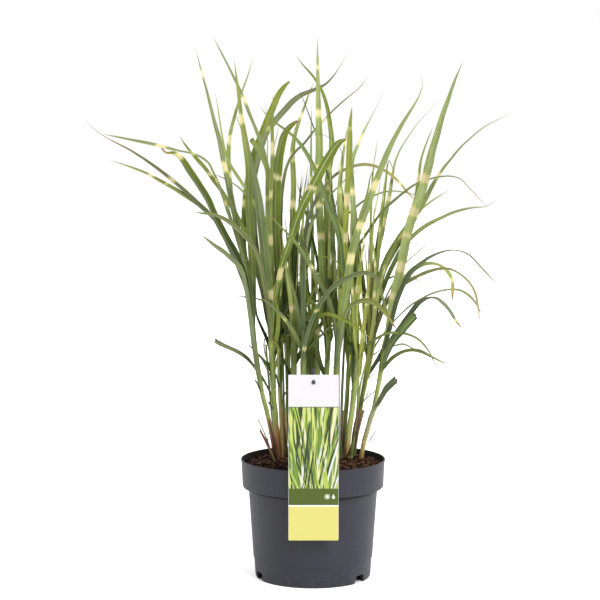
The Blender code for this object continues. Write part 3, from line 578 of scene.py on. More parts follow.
@dataclass(frozen=True)
class PotFinish:
    """Anthracite moulded plastic, dusty with tan dirt towards its foot, with painted shade under the
    collar and inside it.
    """

    name: str = "anthracite_plastic"
    base: Colour = (0.024, 0.0248, 0.036)
    dirt: Colour = (0.22, 0.16, 0.11)
    # Colour of the painted shade: the painted shadow under the collar and the painted shade on the
    # collar's inner wall.
    painted_shade: Colour = (0.010, 0.007, 0.006)
    collar: tuple[float, float] = (0.0932, 0.1205)
    collar_slope: float = 0.049
    specular: float = 0.42

    def material(self, effects: Effects) -> bpy.types.Material:
        """Build the material.

        Args:
            effects: The shared node groups.

        Returns:
            The material.
        """
        material, bench = new_material(self.name)
        place = bench.place()
        x, y, z = bench.split(place)
        foot = bench.soft_step(z, 0.030, 0.0)
        low_dirt = bench.soft_step(bench.noise(place, 60.0, 4.0), 0.45, 0.75, 0.0, foot)
        surface = effects.dust.placed(bench, {
            "Base": self.base, "Dirt": self.dirt, "Scuffs": 0.35, "Grain": 1400.0,
            "Dust": bench.math("MULTIPLY_ADD", low_dirt, 0.30, 0.01)})
        specks = bench.soft_step(bench.cells(place, 110.0), 0.10, 0.04, 0.0, foot)
        ground = bench.soft_step(z, 0.0016, 0.0004, 0.0, 0.5)
        line = bench.soft_step(bench.noise(place, 45.0, 3.0), 0.35, 0.65, 0.0, ground)
        dirty = bench.math("MAXIMUM", bench.math("MULTIPLY", specks, 0.8), line)
        # Painted shadow: the body within about 5 mm below the collar's overhang is darkened, where the
        # collar's shade falls.
        below = bench.math("SUBTRACT", self.collar[1], z)
        painted_collar_shadow = bench.soft_step(below, 0.0050, 0.0016, 0.0,
                                  bench.soft_step(below, -0.0001, 0.0001))
        # Painted shade: the collar's inner wall, above 120 mm, is darkened where the rim shades it.
        wall = bench.math("MULTIPLY_ADD", below, -self.collar_slope, self.collar[0])
        depth = bench.math("SUBTRACT", wall, bench.length(x, y))
        inside = bench.soft_step(depth, 0.0007, 0.0011, 0.0,
                                 bench.soft_step(z, 0.1200, 0.1215))
        # Both painted shade masks mix in the dark painted shade colour and raise the roughness.
        painted_shade_mask = bench.math("MAXIMUM", inside, painted_collar_shadow)
        colour = bench.layered(surface["Color"], (dirty, self.dirt),
                               (bench.math("MULTIPLY", painted_shade_mask, 0.95), self.painted_shade))
        rough = bench.math("MULTIPLY_ADD", painted_shade_mask, 0.5, surface["Roughness"])
        bench.shade(colour, rough, surface["Height"], 0.00008, 0.35,
                    Specular_IOR_Level=self.specular)
        return material


@dataclass(frozen=True)
class PeatFinish:
    """Moist brown potting peat, or the paler fibres and bark in it."""

    name: str
    dark: Colour
    light: Colour
    scale: float
    relief: float

    def material(self, effects: Effects) -> bpy.types.Material:
        """Build the material.

        Args:
            effects: The shared node groups.

        Returns:
            The material.
        """
        material, bench = new_material(self.name)
        surface = effects.peat.placed(
            bench, {"Dark": self.dark, "Light": self.light, "Scale": self.scale})
        bench.shade(*surface, self.relief, 0.7, Specular_IOR_Level=0.05)
        return material


@dataclass(frozen=True)
class StakeFinish:
    """Dark satin plastic of the label's stake."""

    name: str = "stake_plastic"
    base: Colour = (0.055, 0.056, 0.062)
    dirt: Colour = (0.20, 0.15, 0.11)

    def material(self, effects: Effects) -> bpy.types.Material:
        """Build the material.

        Args:
            effects: The shared node groups.

        Returns:
            The material.
        """
        material, bench = new_material(self.name)
        surface = effects.dust.placed(bench, {"Base": self.base, "Dirt": self.dirt,
                                              "Dust": 0.12, "Scuffs": 0.25, "Grain": 2200.0})
        bench.shade(*surface, 0.00004, 0.3)
        return material


@dataclass(frozen=True)
class Streaks:
    """One layer of the card's print: soft streaks that fan from a point below the panel."""

    foot: float
    depth: float
    count: float
    drift: float
    seed: float
    low: float
    high: float
    paint: Colour

    def mask(self, bench: Bench, x: object, below: object) -> bpy.types.NodeSocket:
        """Return the layer's mask.

        Args:
            bench: The material's bench.
            x: Socket of the distance across the card.
            below: Socket of the distance under the card's top.

        Returns:
            The mask's socket.
        """
        lean = bench.math("DIVIDE", bench.math("SUBTRACT", x, self.foot),
                          bench.math("SUBTRACT", self.depth, below))
        place = bench.vector(bench.math("MULTIPLY", lean, self.count * 0.6),
                             bench.math("MULTIPLY", below, self.drift * 13.0), self.seed)
        return bench.soft_step(bench.noise(place, 1.0, 1.0, 0.4), self.low, self.high)


@dataclass(frozen=True)
class CardFinish:
    """Printed card: bare header, panel of plain leafy streaks, green and yellow bands."""

    name: str = "printed_card"
    top: float = 0.2815
    front: float = -0.0965
    half_width: float = 0.0320
    header: float = 0.0409
    panel: tuple[float, float] = (0.0418, 0.1462)
    band_end: float = 0.1672
    white_line: tuple[float, float] = (0.1676, 0.1695)
    sun: tuple[float, float] = (0.0175, 0.1567)
    drop: tuple[float, float] = (0.0255, 0.1577)
    edge: float = 0.00012
    white: Colour = (0.72, 0.695, 0.715)
    green: Colour = (0.070, 0.108, 0.010)
    yellow: Colour = (0.66, 0.61, 0.175)
    ink: Colour = (0.80, 0.84, 0.74)
    ground: Colour = (0.10, 0.17, 0.035)
    layers: tuple[Streaks, ...] = (
        Streaks(0.010, 0.245, 60.0, 0.9, 3.1, 0.46, 0.54, (0.17, 0.27, 0.04)),
        Streaks(-0.020, 0.230, 46.0, 1.0, 7.7, 0.50, 0.56, (0.33, 0.41, 0.07)),
        Streaks(0.028, 0.260, 70.0, 0.9, 12.3, 0.52, 0.57, (0.035, 0.065, 0.020)),
        Streaks(-0.006, 0.300, 95.0, 1.2, 21.9, 0.53, 0.57, (0.56, 0.62, 0.18)),
        Streaks(0.018, 0.330, 80.0, 0.7, 27.4, 0.56, 0.60, (0.14, 0.24, 0.03)),
        Streaks(0.014, 0.235, 62.0, 1.5, 33.3, 0.57, 0.63, (0.70, 0.68, 0.42)),
        Streaks(-0.030, 0.290, 88.0, 0.8, 39.2, 0.57, 0.60, (0.030, 0.055, 0.015)),
        Streaks(-0.024, 0.285, 80.0, 0.9, 45.1, 0.62, 0.67, (0.68, 0.74, 0.70)),
        Streaks(0.030, 0.260, 90.0, 1.2, 51.6, 0.61, 0.64, (0.40, 0.50, 0.09)))

    def disc(self, bench: Bench, x: object, below: object, centre: tuple[float, float],
             radius: float) -> bpy.types.NodeSocket:
        """Return a mask of a printed disc.

        Args:
            bench: The material's bench.
            x: Socket of the distance across the card.
            below: Socket of the distance under the card's top.
            centre: The disc's centre across and below.
            radius: The disc's radius.

        Returns:
            The mask's socket.
        """
        distance = bench.length(bench.math("SUBTRACT", x, centre[0]),
                                bench.math("SUBTRACT", below, centre[1]))
        return bench.soft_step(distance, radius + 0.0001, radius - 0.0001)

    def pictograms(self, bench: Bench, x: object, below: object) -> bpy.types.NodeSocket:
        """Return a mask of the plain sun and drop on the green band.

        Args:
            bench: The material's bench.
            x: Socket of the distance across the card.
            below: Socket of the distance under the card's top.

        Returns:
            The mask's socket.
        """
        core, halo, ring = (self.disc(bench, x, below, self.sun, radius)
                            for radius in (0.0021, 0.0034, 0.0029))
        sun = bench.math("MAXIMUM", core, bench.math("SUBTRACT", halo, ring))
        width = bench.math("MULTIPLY", bench.math("SUBTRACT", below, 0.1530), 0.46)
        off = bench.math("ABSOLUTE", bench.math("SUBTRACT", x, self.drop[0]))
        cone = bench.soft_step(bench.math("SUBTRACT", width, off), -0.0001, 0.0001, 0.0,
                               bench.soft_step(below, self.drop[1], self.drop[1] - 0.0002))
        drop = bench.math("MAXIMUM", self.disc(bench, x, below, self.drop, 0.0020), cone)
        return bench.math("MAXIMUM", sun, drop)

    def material(self) -> bpy.types.Material:
        """Build the material.

        Returns:
            The material.
        """
        material, bench = new_material(self.name)
        place = bench.place()
        x, y, z = bench.split(place)
        below = bench.math("SUBTRACT", self.top, z)
        picture = bench.layered(self.ground, *(
            (layer.mask(bench, x, below), layer.paint) for layer in self.layers))
        rule = (self.band_end - 0.00145, 0.00015, 0.45, (0.05, 0.085, 0.02))
        colour: object = self.white
        for start, edge, strength, paint in (
                (self.header, self.edge, 1.0, (0.05, 0.11, 0.05)),
                (self.panel[0], self.edge, 1.0, picture),
                (self.panel[1], self.edge, 1.0, self.green), rule,
                (self.white_line[0], self.edge, 1.0, (0.85, 0.87, 0.78)),
                (self.white_line[1], self.edge, 1.0, self.yellow)):
            mask = bench.soft_step(below, start - edge, start + edge, 0.0, strength)
            colour = bench.mix(mask, colour, paint)
        marks = bench.math("MULTIPLY", self.pictograms(bench, x, below), 0.9)
        colour = bench.mix(marks, colour, self.ink)
        inside = bench.soft_step(bench.math("ABSOLUTE", x), self.half_width - 0.0002,
                                 self.half_width - 0.0004)
        printed = bench.soft_step(y, self.front + 0.00022, self.front + 0.00012, 0.0, inside)
        fibre = bench.noise(place, 900.0, 3.0, 0.6)
        colour = bench.layered(bench.mix(printed, self.white, colour),
                               (bench.math("MULTIPLY", fibre, 0.03), (0.62, 0.62, 0.58)))
        rough = bench.math("MULTIPLY_ADD", fibre, 0.10, 0.30)
        bench.shade(colour, rough, fibre, 0.00003, 0.2, Specular_IOR_Level=0.25,
                    Coat_Weight=0.03)
        return material


@dataclass(frozen=True)
class FloorFinish:
    """Seamless white studio paper, lit from below."""

    name: str = "studio_paper"
    glow: float = 0.46
    shade: tuple[float, float] = (0.0745, 0.0765)

    def material(self) -> bpy.types.Material:
        """Build the material.

        Returns:
            The material.
        """
        material, bench = new_material(self.name)
        place = bench.place()
        x, y, _ = bench.split(place)
        glow = bench.soft_step(bench.length(x, y), *self.shade, 0.0, self.glow)
        paper = bench.mix(bench.noise(place, 400.0, 3.0), (0.93, 0.93, 0.93), (0.96, 0.96, 0.96))
        lit = bench.math("MULTIPLY", glow, bench.camera_ray())
        shader = material.node_tree.nodes["Principled BSDF"]
        for label, value in (("Base Color", paper), ("Roughness", 0.85),
                             ("Specular IOR Level", 0.1), ("Emission Color", (1.0, 1.0, 1.0)),
                             ("Emission Strength", lit)):
            bench.feed(shader.inputs[label], value)
        return material


def turn_outward(mesh: bpy.types.Mesh, weld: float = 0.0) -> None:
    """Turn a closed mesh's faces outward.

    Args:
        mesh: The mesh.
        weld: Points nearer than this become one.
    """
    bm = bmesh.new()
    bm.from_mesh(mesh)
    if weld > 0.0:
        bmesh.ops.remove_doubles(bm, verts=bm.verts, dist=weld)
    bmesh.ops.recalc_face_normals(bm, faces=bm.faces)
    bm.to_mesh(mesh)
    bm.free()


def new_mesh(name: str, points: object, faces: list[tuple[int, ...]],
             smooth: bool = True, outward: bool = True) -> bpy.types.Mesh:
    """Make a mesh.

    Args:
        name: The mesh's name.
        points: Its points as rows of x, y, z.
        faces: Each face's corners.
        smooth: Whether it is shaded smooth.
        outward: Whether its faces have to be turned outward.

    Returns:
        The mesh.
    """
    mesh = bpy.data.meshes.new(name)
    mesh.from_pydata(np.asarray(points, float).tolist(), [], faces)
    mesh.polygons.foreach_set("use_smooth", [smooth] * len(mesh.polygons))
    if outward:
        turn_outward(mesh)
    return mesh


def ring_faces(start: int, rings: int, sides: int) -> list[tuple[int, ...]]:
    """Return the faces between rings of points.

    Args:
        start: The first point's number.
        rings: How many rings there are.
        sides: Points in each ring.

    Returns:
        Each face's corners.
    """
    faces = []
    for low in range(start, start + (rings - 1) * sides, sides):
        for k in range(sides):
            after = (k + 1) % sides
            faces.append((low + k, low + after, low + after + sides, low + k + sides))
    return faces


def keep_values(mesh: bpy.types.Mesh, values: dict[str, np.ndarray]) -> None:
    """Keep values on a mesh's points, for their finish to read.

    Args:
        mesh: The mesh.
        values: Three numbers for each point, by name; those of "tone" are a colour.
    """
    for key, rows in values.items():
        if key == "tone":
            rows = np.concatenate((rows, np.ones((len(rows), 1))), axis=1)
            layer = mesh.attributes.new(key, "FLOAT_COLOR", "POINT")
            layer.data.foreach_set("color", rows.ravel())
        else:
            layer = mesh.attributes.new(key, "FLOAT_VECTOR", "POINT")
            layer.data.foreach_set("vector", rows.ravel())


def new_object(name: str, mesh: bpy.types.Mesh, material: bpy.types.Material) -> bpy.types.Object:
    """Put a mesh in the scene.

    Args:
        name: The piece's name.
        mesh: Its mesh.
        material: Its material.

    Returns:
        The new object.
    """
    mesh.materials.clear()
    mesh.materials.append(material)
    piece = bpy.data.objects.new(name, mesh)
    bpy.context.scene.collection.objects.link(piece)
    return piece


def stand_for(piece: bpy.types.Object, slot: str, *nodes: str) -> None:
    """Make a piece ride on the plant and stand for nodes of the frame.

    Args:
        piece: The piece.
        slot: A material slot's name; not used.
        nodes: The nodes that it replaces, if any.
    """
    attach(piece, ROOT_BODY)
    if nodes:
        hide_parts(*nodes)


def node_points(name: str) -> tuple[np.ndarray, np.ndarray]:
    """Return a node's welded vertices and its edges.

    Args:
        name: The node's name.

    Returns:
        Vertices as rows of x, y, z, and edges as rows of two indices.
    """
    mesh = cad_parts[name].data
    places = np.zeros(len(mesh.vertices) * 3)
    mesh.vertices.foreach_get("co", places)
    places = places.reshape(-1, 3)
    keys, inverse = np.unique(np.round(places, 6), axis=0, return_inverse=True)
    edges = np.zeros(len(mesh.edges) * 2, int)
    mesh.edges.foreach_get("vertices", edges)
    return keys, inverse.reshape(-1)[edges.reshape(-1, 2)]


@dataclass
class Course:
    """A leaf's line: centres, half widths and upper-face directions from collar to tip."""

    centres: np.ndarray
    halves: np.ndarray
    faces: np.ndarray
    blunt: bool = False
    CLOSES_OVER: ClassVar[float] = 0.035
    CLOSES_BY: ClassVar[float] = 0.75
    LEAST_STEPS: ClassVar[int] = 8

    @staticmethod
    def of_node(name: str, blunt: bool) -> "Course":
        """Read a blade node's rings from its tip back to its collar.

        Args:
            name: The node's name.
            blunt: Whether the blade ends cut.

        Returns:
            The course.
        """
        points, edges = node_points(name)
        near: list[set[int]] = [set() for _ in points]
        for first, second in edges:
            near[first].add(second)
            near[second].add(first)
        found: list[tuple[float, int, list[list[int]]]] = []
        for apex in range(len(points)):
            seen = {apex}
            ring = set(near[apex])
            rings = []
            while ring:
                rings.append(sorted(ring))
                seen |= ring
                ring = set().union(*(near[i] for i in ring)) - seen
            if all(len(corners) == 4 for corners in rings):
                spans = [np.linalg.norm(points[apex] - points[i]) for i in rings[0]]
                found.append((min(spans), apex, rings))
        _, apex, rings = max(found)
        centres, halves, faces = [points[apex]], [0.0], []
        for corners in rings:
            pairs = [(a, b) for a in corners for b in corners if a < b]
            left, right = max(pairs, key=lambda p: np.linalg.norm(points[p[0]] - points[p[1]]))
            mids = [i for i in corners if i not in (left, right)]
            middle = (points[left] + points[right]) / 2.0
            centres.append(middle)
            halves.append(np.linalg.norm(points[left] - points[right]) / 2.0)
            faces.append(unit(middle - points[mids].mean(axis=0)))
        faces.insert(0, faces[0])
        if blunt:
            halves[0] = halves[1]
        return Course(np.array(centres[::-1]), np.array(halves[::-1]),
                      np.array(faces[::-1]), blunt)

    def refined(self, step: float, shape: Spans, open_to_eye: float,
                own_outline: bool = False) -> "Course":
        """Return the course with smooth, even steps.

        Args:
            step: The distance between centres.
            shape: Width factors as pairs of share of the length and factor.
            open_to_eye: Least share of the width that the photograph's eye sees.
            own_outline: Whether the factors are shares of the greatest width.

        Returns:
            The finer course.
        """
        at = along(self.centres)
        count = max(self.LEAST_STEPS, int(at[-1] / step))
        wanted = np.linspace(0.0, at[-1], count + 1)
        centres = eased(self.centres, at, wanted)
        halves = np.maximum(eased(self.halves, at, wanted), 0.0)
        if not self.blunt:
            closing = np.clip((at[-1] - wanted) / self.CLOSES_OVER, 0.0, 1.0)
            halves = np.minimum(halves, self.halves.max() * closing ** self.CLOSES_BY)
        if own_outline:
            halves = np.full(len(wanted), self.halves.max())
        share = wanted / at[-1]
        halves = halves * np.interp(share, [p[0] for p in shape], [p[1] for p in shape])
        faces = unit(eased(self.faces, at, wanted))
        tangents = unit(np.gradient(centres, axis=0))
        faces = square_to(faces, tangents)
        to_eye = square_to(SIGHT.towards(centres), tangents)
        right = np.cross(tangents, to_eye)
        ahead = (faces * to_eye).sum(axis=1)
        aside = (faces * right).sum(axis=1)
        facing = 1.0 if ahead.mean() >= 0.0 else -1.0
        ahead = facing * np.maximum(ahead * facing, open_to_eye)
        aside = np.sign(aside.mean() + 1e-9) * np.sqrt(np.maximum(1.0 - ahead ** 2, 0.0))
        faces = to_eye * ahead[:, None] + right * aside[:, None]
        return Course(centres, halves, faces, self.blunt)


@dataclass
class Rows:
    """A leaf's rows of points across it, from its foot to its tip, with what colours them."""

    grid: np.ndarray
    tones: np.ndarray
    band: np.ndarray
    thick: np.ndarray
    seed: float
    rib: np.ndarray
    dry: np.ndarray
    tip_wear: float
    blunt: bool = False
    seen_side: float = 1.0


ACROSS = np.array((-1.0, -0.66, -0.3, 0.0, 0.3, 0.66, 1.0))


class Heap:
    """Gathers small bodies into one mesh."""

    def __init__(self, name: str) -> None:
        """Start an empty heap.

        Args:
            name: The piece's name.
        """
        self.name = name
        self.points: list[np.ndarray] = []
        self.faces: list[tuple[int, ...]] = []
        self.count = 0

    def put(self, body: np.ndarray, faces: list[tuple[int, ...]]) -> None:
        """Add a body.

        Args:
            body: Its points as rows of x, y, z.
            faces: Each face's corners, counted from the body's first point.
        """
        self.points.append(body)
        self.faces += [tuple(self.count + corner for corner in face) for face in faces]
        self.count += len(body)

    def mesh(self, smooth: bool = True, outward: bool = True) -> bpy.types.Mesh:
        """Return all bodies as one mesh, as new_mesh makes it."""
        return new_mesh(self.name, np.concatenate(self.points), self.faces, smooth, outward)

    def heaped(self, material: bpy.types.Material, smooth: bool = True) -> bpy.types.Object:
        """Return all bodies as one piece of a material."""
        return new_object(self.name, self.mesh(smooth), material)


class LeafBed(Heap):
    """Gathers leaves into one mesh, and keeps the values that their finish reads."""

    MID_THICKNESS: float = 0.00034
    EDGE_THICKNESS: float = 0.00012
    KEEL: float = 0.00022
    KEEL_REACH: float = 0.3
    SLIM_BELOW: float = 0.003
    LEAST_SLIM: float = 0.15
    SHADER_TIP: float = 0.012
    RING: int = 12

    def __init__(self, name: str) -> None:
        """Start an empty bed.

        Args:
            name: The piece's name.
        """
        super().__init__(name)
        self.values: dict[str, list[np.ndarray]] = {
            key: [] for key in ("leaf", "finish", "marks", "tone")}
        self.rims: list[np.ndarray] = []

    def add(self, rows: Rows) -> None:
        """Add a leaf.

        Args:
            rows: The leaf's rows and colouring values.
        """
        grid = rows.grid
        count = len(grid)
        normals = unit(np.cross(np.gradient(grid, axis=1), np.gradient(grid, axis=0)))
        away = np.abs(ACROSS)
        lamina = self.MID_THICKNESS + (self.EDGE_THICKNESS - self.MID_THICKNESS) * away ** 2
        keel = self.KEEL * np.clip(1.0 - away / self.KEEL_REACH, 0.0, 1.0)
        spread = np.linalg.norm(grid[:, -1] - grid[:, 0], axis=1)
        slim = np.clip(spread / self.SLIM_BELOW, self.LEAST_SLIM, 1.0)[:, None]
        slim = slim * rows.thick[:, None]
        upper = grid + normals * (lamina * slim / 2.0)[..., None]
        lower = grid - normals * ((lamina / 2.0 + keel) * slim)[..., None]
        upper[:, 0] = grid[:, 0]
        upper[:, -1] = grid[:, -1]
        loop = np.concatenate((upper, lower[:, -2:0:-1]), axis=1)
        cross = np.concatenate((ACROSS, ACROSS[-2:0:-1]))
        width = len(ACROSS)
        side = np.concatenate((np.ones(width), -np.ones(width - 2))) * rows.seen_side
        rim = np.isin(np.arange(self.RING), (0, width - 1))
        centre = grid[:, 3]
        run = along(centre)
        tip = run[-1] - run
        if rows.blunt or rows.tip_wear <= 0.0:
            wear = np.full(count, 1.0)
        else:
            wear = tip * (self.SHADER_TIP / rows.tip_wear)
        ring = self.RING
        entries = {
            "leaf": (np.tile(cross, count), np.repeat(run, ring),
                     np.full(count * ring, rows.seed)),
            "finish": (np.repeat(rows.rib, ring), np.repeat(rows.dry, ring),
                       np.tile(side, count)),
            "marks": (np.repeat(rows.band, ring), np.repeat(wear, ring),
                      np.zeros(count * ring)),
            "tone": np.repeat(rows.tones, ring, axis=0).T}
        for key, columns in entries.items():
            self.values[key].append(np.stack(columns, axis=1))
        self.rims.append(np.tile(rim, count))
        faces = ring_faces(0, count, ring)
        for base, turned in ((0, True), ((count - 1) * ring, False)):
            for j in range(ring // 2):
                corners = [base + j, base + j + 1, base + ring - j - 1, base + (ring - j) % ring]
                corners = [c for i, c in enumerate(corners) if c not in corners[:i]]
                faces.append(tuple(corners if turned else reversed(corners)))
        self.put(loop.reshape(-1, 3), faces)

    def piece(self, material: bpy.types.Material) -> bpy.types.Object:
        """Make the bed's mesh.

        Args:
            material: The leaves' material.

        Returns:
            The piece.
        """
        mesh = self.mesh(outward=False)
        keep_values(mesh, {key: np.concatenate(rows) for key, rows in self.values.items()})
        rim = np.concatenate(self.rims)
        edges = np.zeros(len(mesh.edges) * 2, int)
        mesh.edges.foreach_get("vertices", edges)
        sharp = rim[edges.reshape(-1, 2)].all(axis=1)
        layer = mesh.attributes.new("sharp_edge", "BOOLEAN", "EDGE")
        layer.data.foreach_set("value", sharp)
        mesh.update()
        return new_object(self.name, mesh, material)


@dataclass(frozen=True)
class CulmDress:
    """How a culm's skin changes up its length, and where its pale collars sit."""

    skins: tuple[tuple[float, Colour], ...]
    collars: tuple[float, ...] = ()
    slot: str = "culm"
    dry: float = 0.0


GREEN_TOP: tuple[tuple[float, Colour], ...] = (
    (446, (96, 66, 48)), (432, (146, 124, 74)), (412, (138, 150, 84)),
    (385, (128, 142, 78)), (355, (96, 110, 64)), (320, (88, 104, 58)))

CULM_DRESSES: dict[str, CulmDress] = {
    "culm_left_outer": CulmDress(((450, (77, 49, 39)), (436, (131, 99, 71)), (424, (136, 122, 74)),
        (412, (120, 129, 68)), (393, (131, 142, 81)), (370, (108, 116, 76)), (330, (91, 102, 66)))),
    "culm_left_main": CulmDress(((449, (120, 74, 52)), (443, (136, 86, 60)), (430, (153, 127, 70)),
        (415, (141, 154, 79)), (380, (139, 153, 82)), (345, (151, 166, 91))), (362, 325)),
    "culm_left_inner": CulmDress(((448, (110, 84, 54)), (430, (140, 125, 71)), (392, (128, 132, 81)),
        (367, (89, 104, 43)))),
    "culm_mid_left": CulmDress(GREEN_TOP, (346,)),
    "culm_right_thin": CulmDress(((448, (80, 66, 44)), (430, (84, 86, 48)), (412, (118, 122, 66)), (392,
        (136, 150, 79)), (360, (132, 146, 78))), (378,)),
    "culm_right_main": CulmDress(((452, (112, 84, 56)), (446, (139, 119, 74)), (432, (167, 168, 96)),
        (417, (148, 161, 88)), (375, (118, 130, 83)), (355, (85, 93, 59))), (394.5,)),
    "culm_right_inner": CulmDress(((443, (144, 118, 100)), (419, (120, 98, 77)), (398, (98, 107, 60)),
        (358, (151, 160, 96)))),
    "culm_right_shoot": CulmDress(((455, (130, 104, 66)), (449, (171, 152, 90)), (424, (144, 144, 111)),
        (392, (139, 148, 84)), (383, (162, 173, 101)), (350, (140, 154, 84))), (408.5,)),
    "shoot_small": CulmDress(((452, (92, 80, 49)), (425, (167, 143, 122))), (), "culm", 0.5),
    "sheath_dry_left": CulmDress(((450, (82, 61, 44)), (420, (126, 97, 65))), (), "dry_sheath", 1.0),
    "sheath_dry_right": CulmDress(((450, (72, 52, 45)), (412, (159, 128, 104))), (), "dry_sheath", 1.0),
}


@dataclass
class Culm:
    """One tiller: its axis and radii read from its node, and its smooth skin."""

    name: str
    sides: int = 16
    ring: int = 8
    tip: float = 0.016
    step: float = 0.004
    lift: float = 1.32
    collar_width: float = 1.6
    collar_swell: float = 0.06
    ripple: float = 0.018
    rolled_tip: float = 0.12
    closes_by: float = 0.6
    least_steps: int = 6
    ripples: tuple[float, float, float] = (5.0, 90.0, 9.0)
    grain: tuple[float, float] = (0.9, 1.4)
    no_collar: float = 99.0
    collar_half: float = 0.9
    row_height: float = 0.0013
    mark_stretch: float = 1.4

    def __post_init__(self) -> None:
        """Read the culm's rings."""
        points, _ = node_points(self.name)
        order = np.argsort(points[:, 2])
        points = points[order]
        rings = points[: len(points) // self.ring * self.ring].reshape(-1, self.ring, 3)
        self.axis = rings.mean(axis=1)
        offset = np.linalg.norm(rings - self.axis[:, None], axis=2)
        self.radii = offset.mean(axis=1)
        self.dress = CULM_DRESSES.get(self.name, CulmDress(GREEN_TOP))
        self.sheaths = 0

    def at_height(self, height: float) -> tuple[np.ndarray, float]:
        """Return the axis point and radius at a height.

        Args:
            height: The height above the floor.

        Returns:
            The point and the radius.
        """
        heights = self.axis[:, 2]
        centre = np.array([np.interp(height, heights, self.axis[:, k]) for k in range(3)])
        top = self.axis[-1]
        if height > top[2]:
            rise = unit(self.axis[-1] - self.axis[-2])
            centre = top + rise * ((height - top[2]) / rise[2])
        return centre, float(np.interp(height, heights, self.radii))

    def rise(self, height: float) -> np.ndarray:
        """Return the direction of the axis at a height."""
        reach = 0.005
        return unit(self.at_height(height + reach)[0] - self.at_height(height - reach)[0])

    def height_of_row(self, row: float) -> float:
        """Return the height at which the axis is seen at a picture row."""
        rows = SIGHT.picture(self.axis)[:, 1]
        return float(np.interp(row, rows[::-1], self.axis[::-1, 2]))

    def tone(self, row: float) -> np.ndarray:
        """Return the skin's tone at a picture row.

        Args:
            row: The picture row.

        Returns:
            The tone as linear light.
        """
        rows, colours = zip(*sorted(self.dress.skins))
        found = [np.interp(row, rows, channel) for channel in zip(*colours)]
        return linear(found) * self.lift

    def skin(self, material: bpy.types.Material) -> bpy.types.Object:
        """Build the culm's tube, which narrows to a rolled tip.

        Args:
            material: The leaves' material.

        Returns:
            The piece.
        """
        at = along(self.axis)
        steps = max(self.least_steps, int(at[-1] / self.step))
        wanted = np.linspace(0.0, at[-1], steps + 1)
        centres = eased(self.axis, at, wanted)
        radii = np.interp(wanted, at, self.radii)
        closing = np.clip((at[-1] - wanted) / self.tip, 0.0, 1.0)
        closing = closing ** self.closes_by
        radii = radii * (self.rolled_tip + (1.0 - self.rolled_tip) * closing)
        rows = SIGHT.picture(centres)[:, 1]
        seed = random.Random(self.name).random()
        around, upward, shift = self.ripples
        angles = np.arange(self.sides) * math.tau / self.sides
        points: list[np.ndarray] = []
        values: dict[str, list[object]] = {"leaf": [], "finish": [], "marks": [], "tone": []}
        tangents = unit(np.gradient(centres, axis=0))
        for centre, radius, tangent, row, run in zip(centres, radii, tangents, rows, wanted):
            right = unit(np.cross(tangent, (0.0, 1.0, 0.0)))
            back = np.cross(right, tangent)
            collar = min((abs(row - place) for place in self.dress.collars),
                         default=self.no_collar)
            swell = 1.0 + self.collar_swell * math.exp(-(collar / self.collar_width) ** 2)
            for angle in angles:
                wave = math.sin(angle * around + run * upward + seed * shift)
                ripple = 1.0 + self.ripple * wave
                arm = right * math.cos(angle) + back * math.sin(angle)
                points.append(centre + arm * radius * swell * ripple)
                across = math.sin(angle) * self.grain[0] + math.cos(angle) * self.grain[1]
                values["leaf"].append((across, run, seed))
                values["finish"].append((0.0, self.dress.dry, 1.0))
                mark = (collar - self.collar_half) * self.row_height * self.mark_stretch
                values["marks"].append((mark, 1.0, 0.0))
                values["tone"].append(self.tone(row))
        count, sides = len(centres), self.sides
        faces = [tuple(reversed(range(sides))), *ring_faces(0, count, sides),
                 tuple(range((count - 1) * sides, count * sides))]
        mesh = new_mesh(self.name + "_skin", points, faces)
        keep_values(mesh, {key: np.array(rows) for key, rows in values.items()})
        return new_object(self.name + "_skin", mesh, material)


LONG_TAPER: Spans = ((0.0, 1.0), (0.3, 1.0), (0.65, 0.86), (1.0, 0.76))
KINKED: Spans = ((0.0, 1.0), (0.5, 1.0), (0.58, 0.6), (0.72, 0.62), (0.8, 1.5), (0.93, 1.6),
                 (1.0, 1.3))
BROAD_END: Spans = ((0.0, 0.5), (0.2, 0.72), (0.45, 0.95), (0.6, 1.1), (0.8, 1.18), (0.9, 1.05),
                    (0.96, 0.76), (0.99, 0.42), (1.0, 0.2))
HOOKED_END: Spans = ((0.0, 0.5), (0.2, 0.72), (0.45, 0.86), (0.6, 0.82), (0.8, 0.8),
                     (0.9, 0.74), (0.935, 0.4), (1.0, 0.12))
NARROW_END: Spans = ((0.0, 1.0), (0.52, 1.0), (0.68, 0.5), (0.8, 0.4), (0.9, 0.42), (1.0, 0.25))
FADING_END: Spans = ((0.0, 1.0), (0.5, 1.0), (0.7, 0.75), (0.8, 0.55), (0.88, 0.25), (1.0, 0.15))
LONG_THREAD: Spans = ((0.0, 1.0), (0.4, 0.95), (0.58, 0.5), (0.7, 0.42), (0.88, 0.65), (1.0, 1.0))
SLIM: Spans = ((0.0, 0.8), (0.5, 0.72), (1.0, 0.6))
FULL: Spans = ((0.0, 1.05), (0.3, 1.1), (0.65, 1.02), (1.0, 1.0))
WIDENS_LATE: Spans = ((0.0, 0.45), (0.3, 0.66), (0.7, 0.92), (1.0, 0.90))
BROAD_LATE: Spans = ((0.0, 1.0), (0.55, 1.05), (0.7, 1.3), (0.8, 1.8), (0.9, 2.2), (1.0, 2.4))
PINCHED: Spans = ((0.0, 1.0), (0.58, 0.97), (0.69, 0.42), (0.79, 1.05), (0.93, 1.5), (1.0, 1.2))
OWN_OUTLINES: tuple[Spans, ...] = (BROAD_END, HOOKED_END)


@dataclass(frozen=True)
class BladeDress:
    """What carries a blade of the frame, and how it is coloured."""

    culm: str
    low: Tone
    high: Tone
    rows: Spans = ()
    columns: Spans = ()
    rib: float = 0.25
    tip: float = 0.012
    blunt: bool = False
    shape: Spans = LONG_TAPER
    open_to_eye: float = 0.62
    spots: Spots = ()
    fold: float = 0.22
    change: float = 0.8


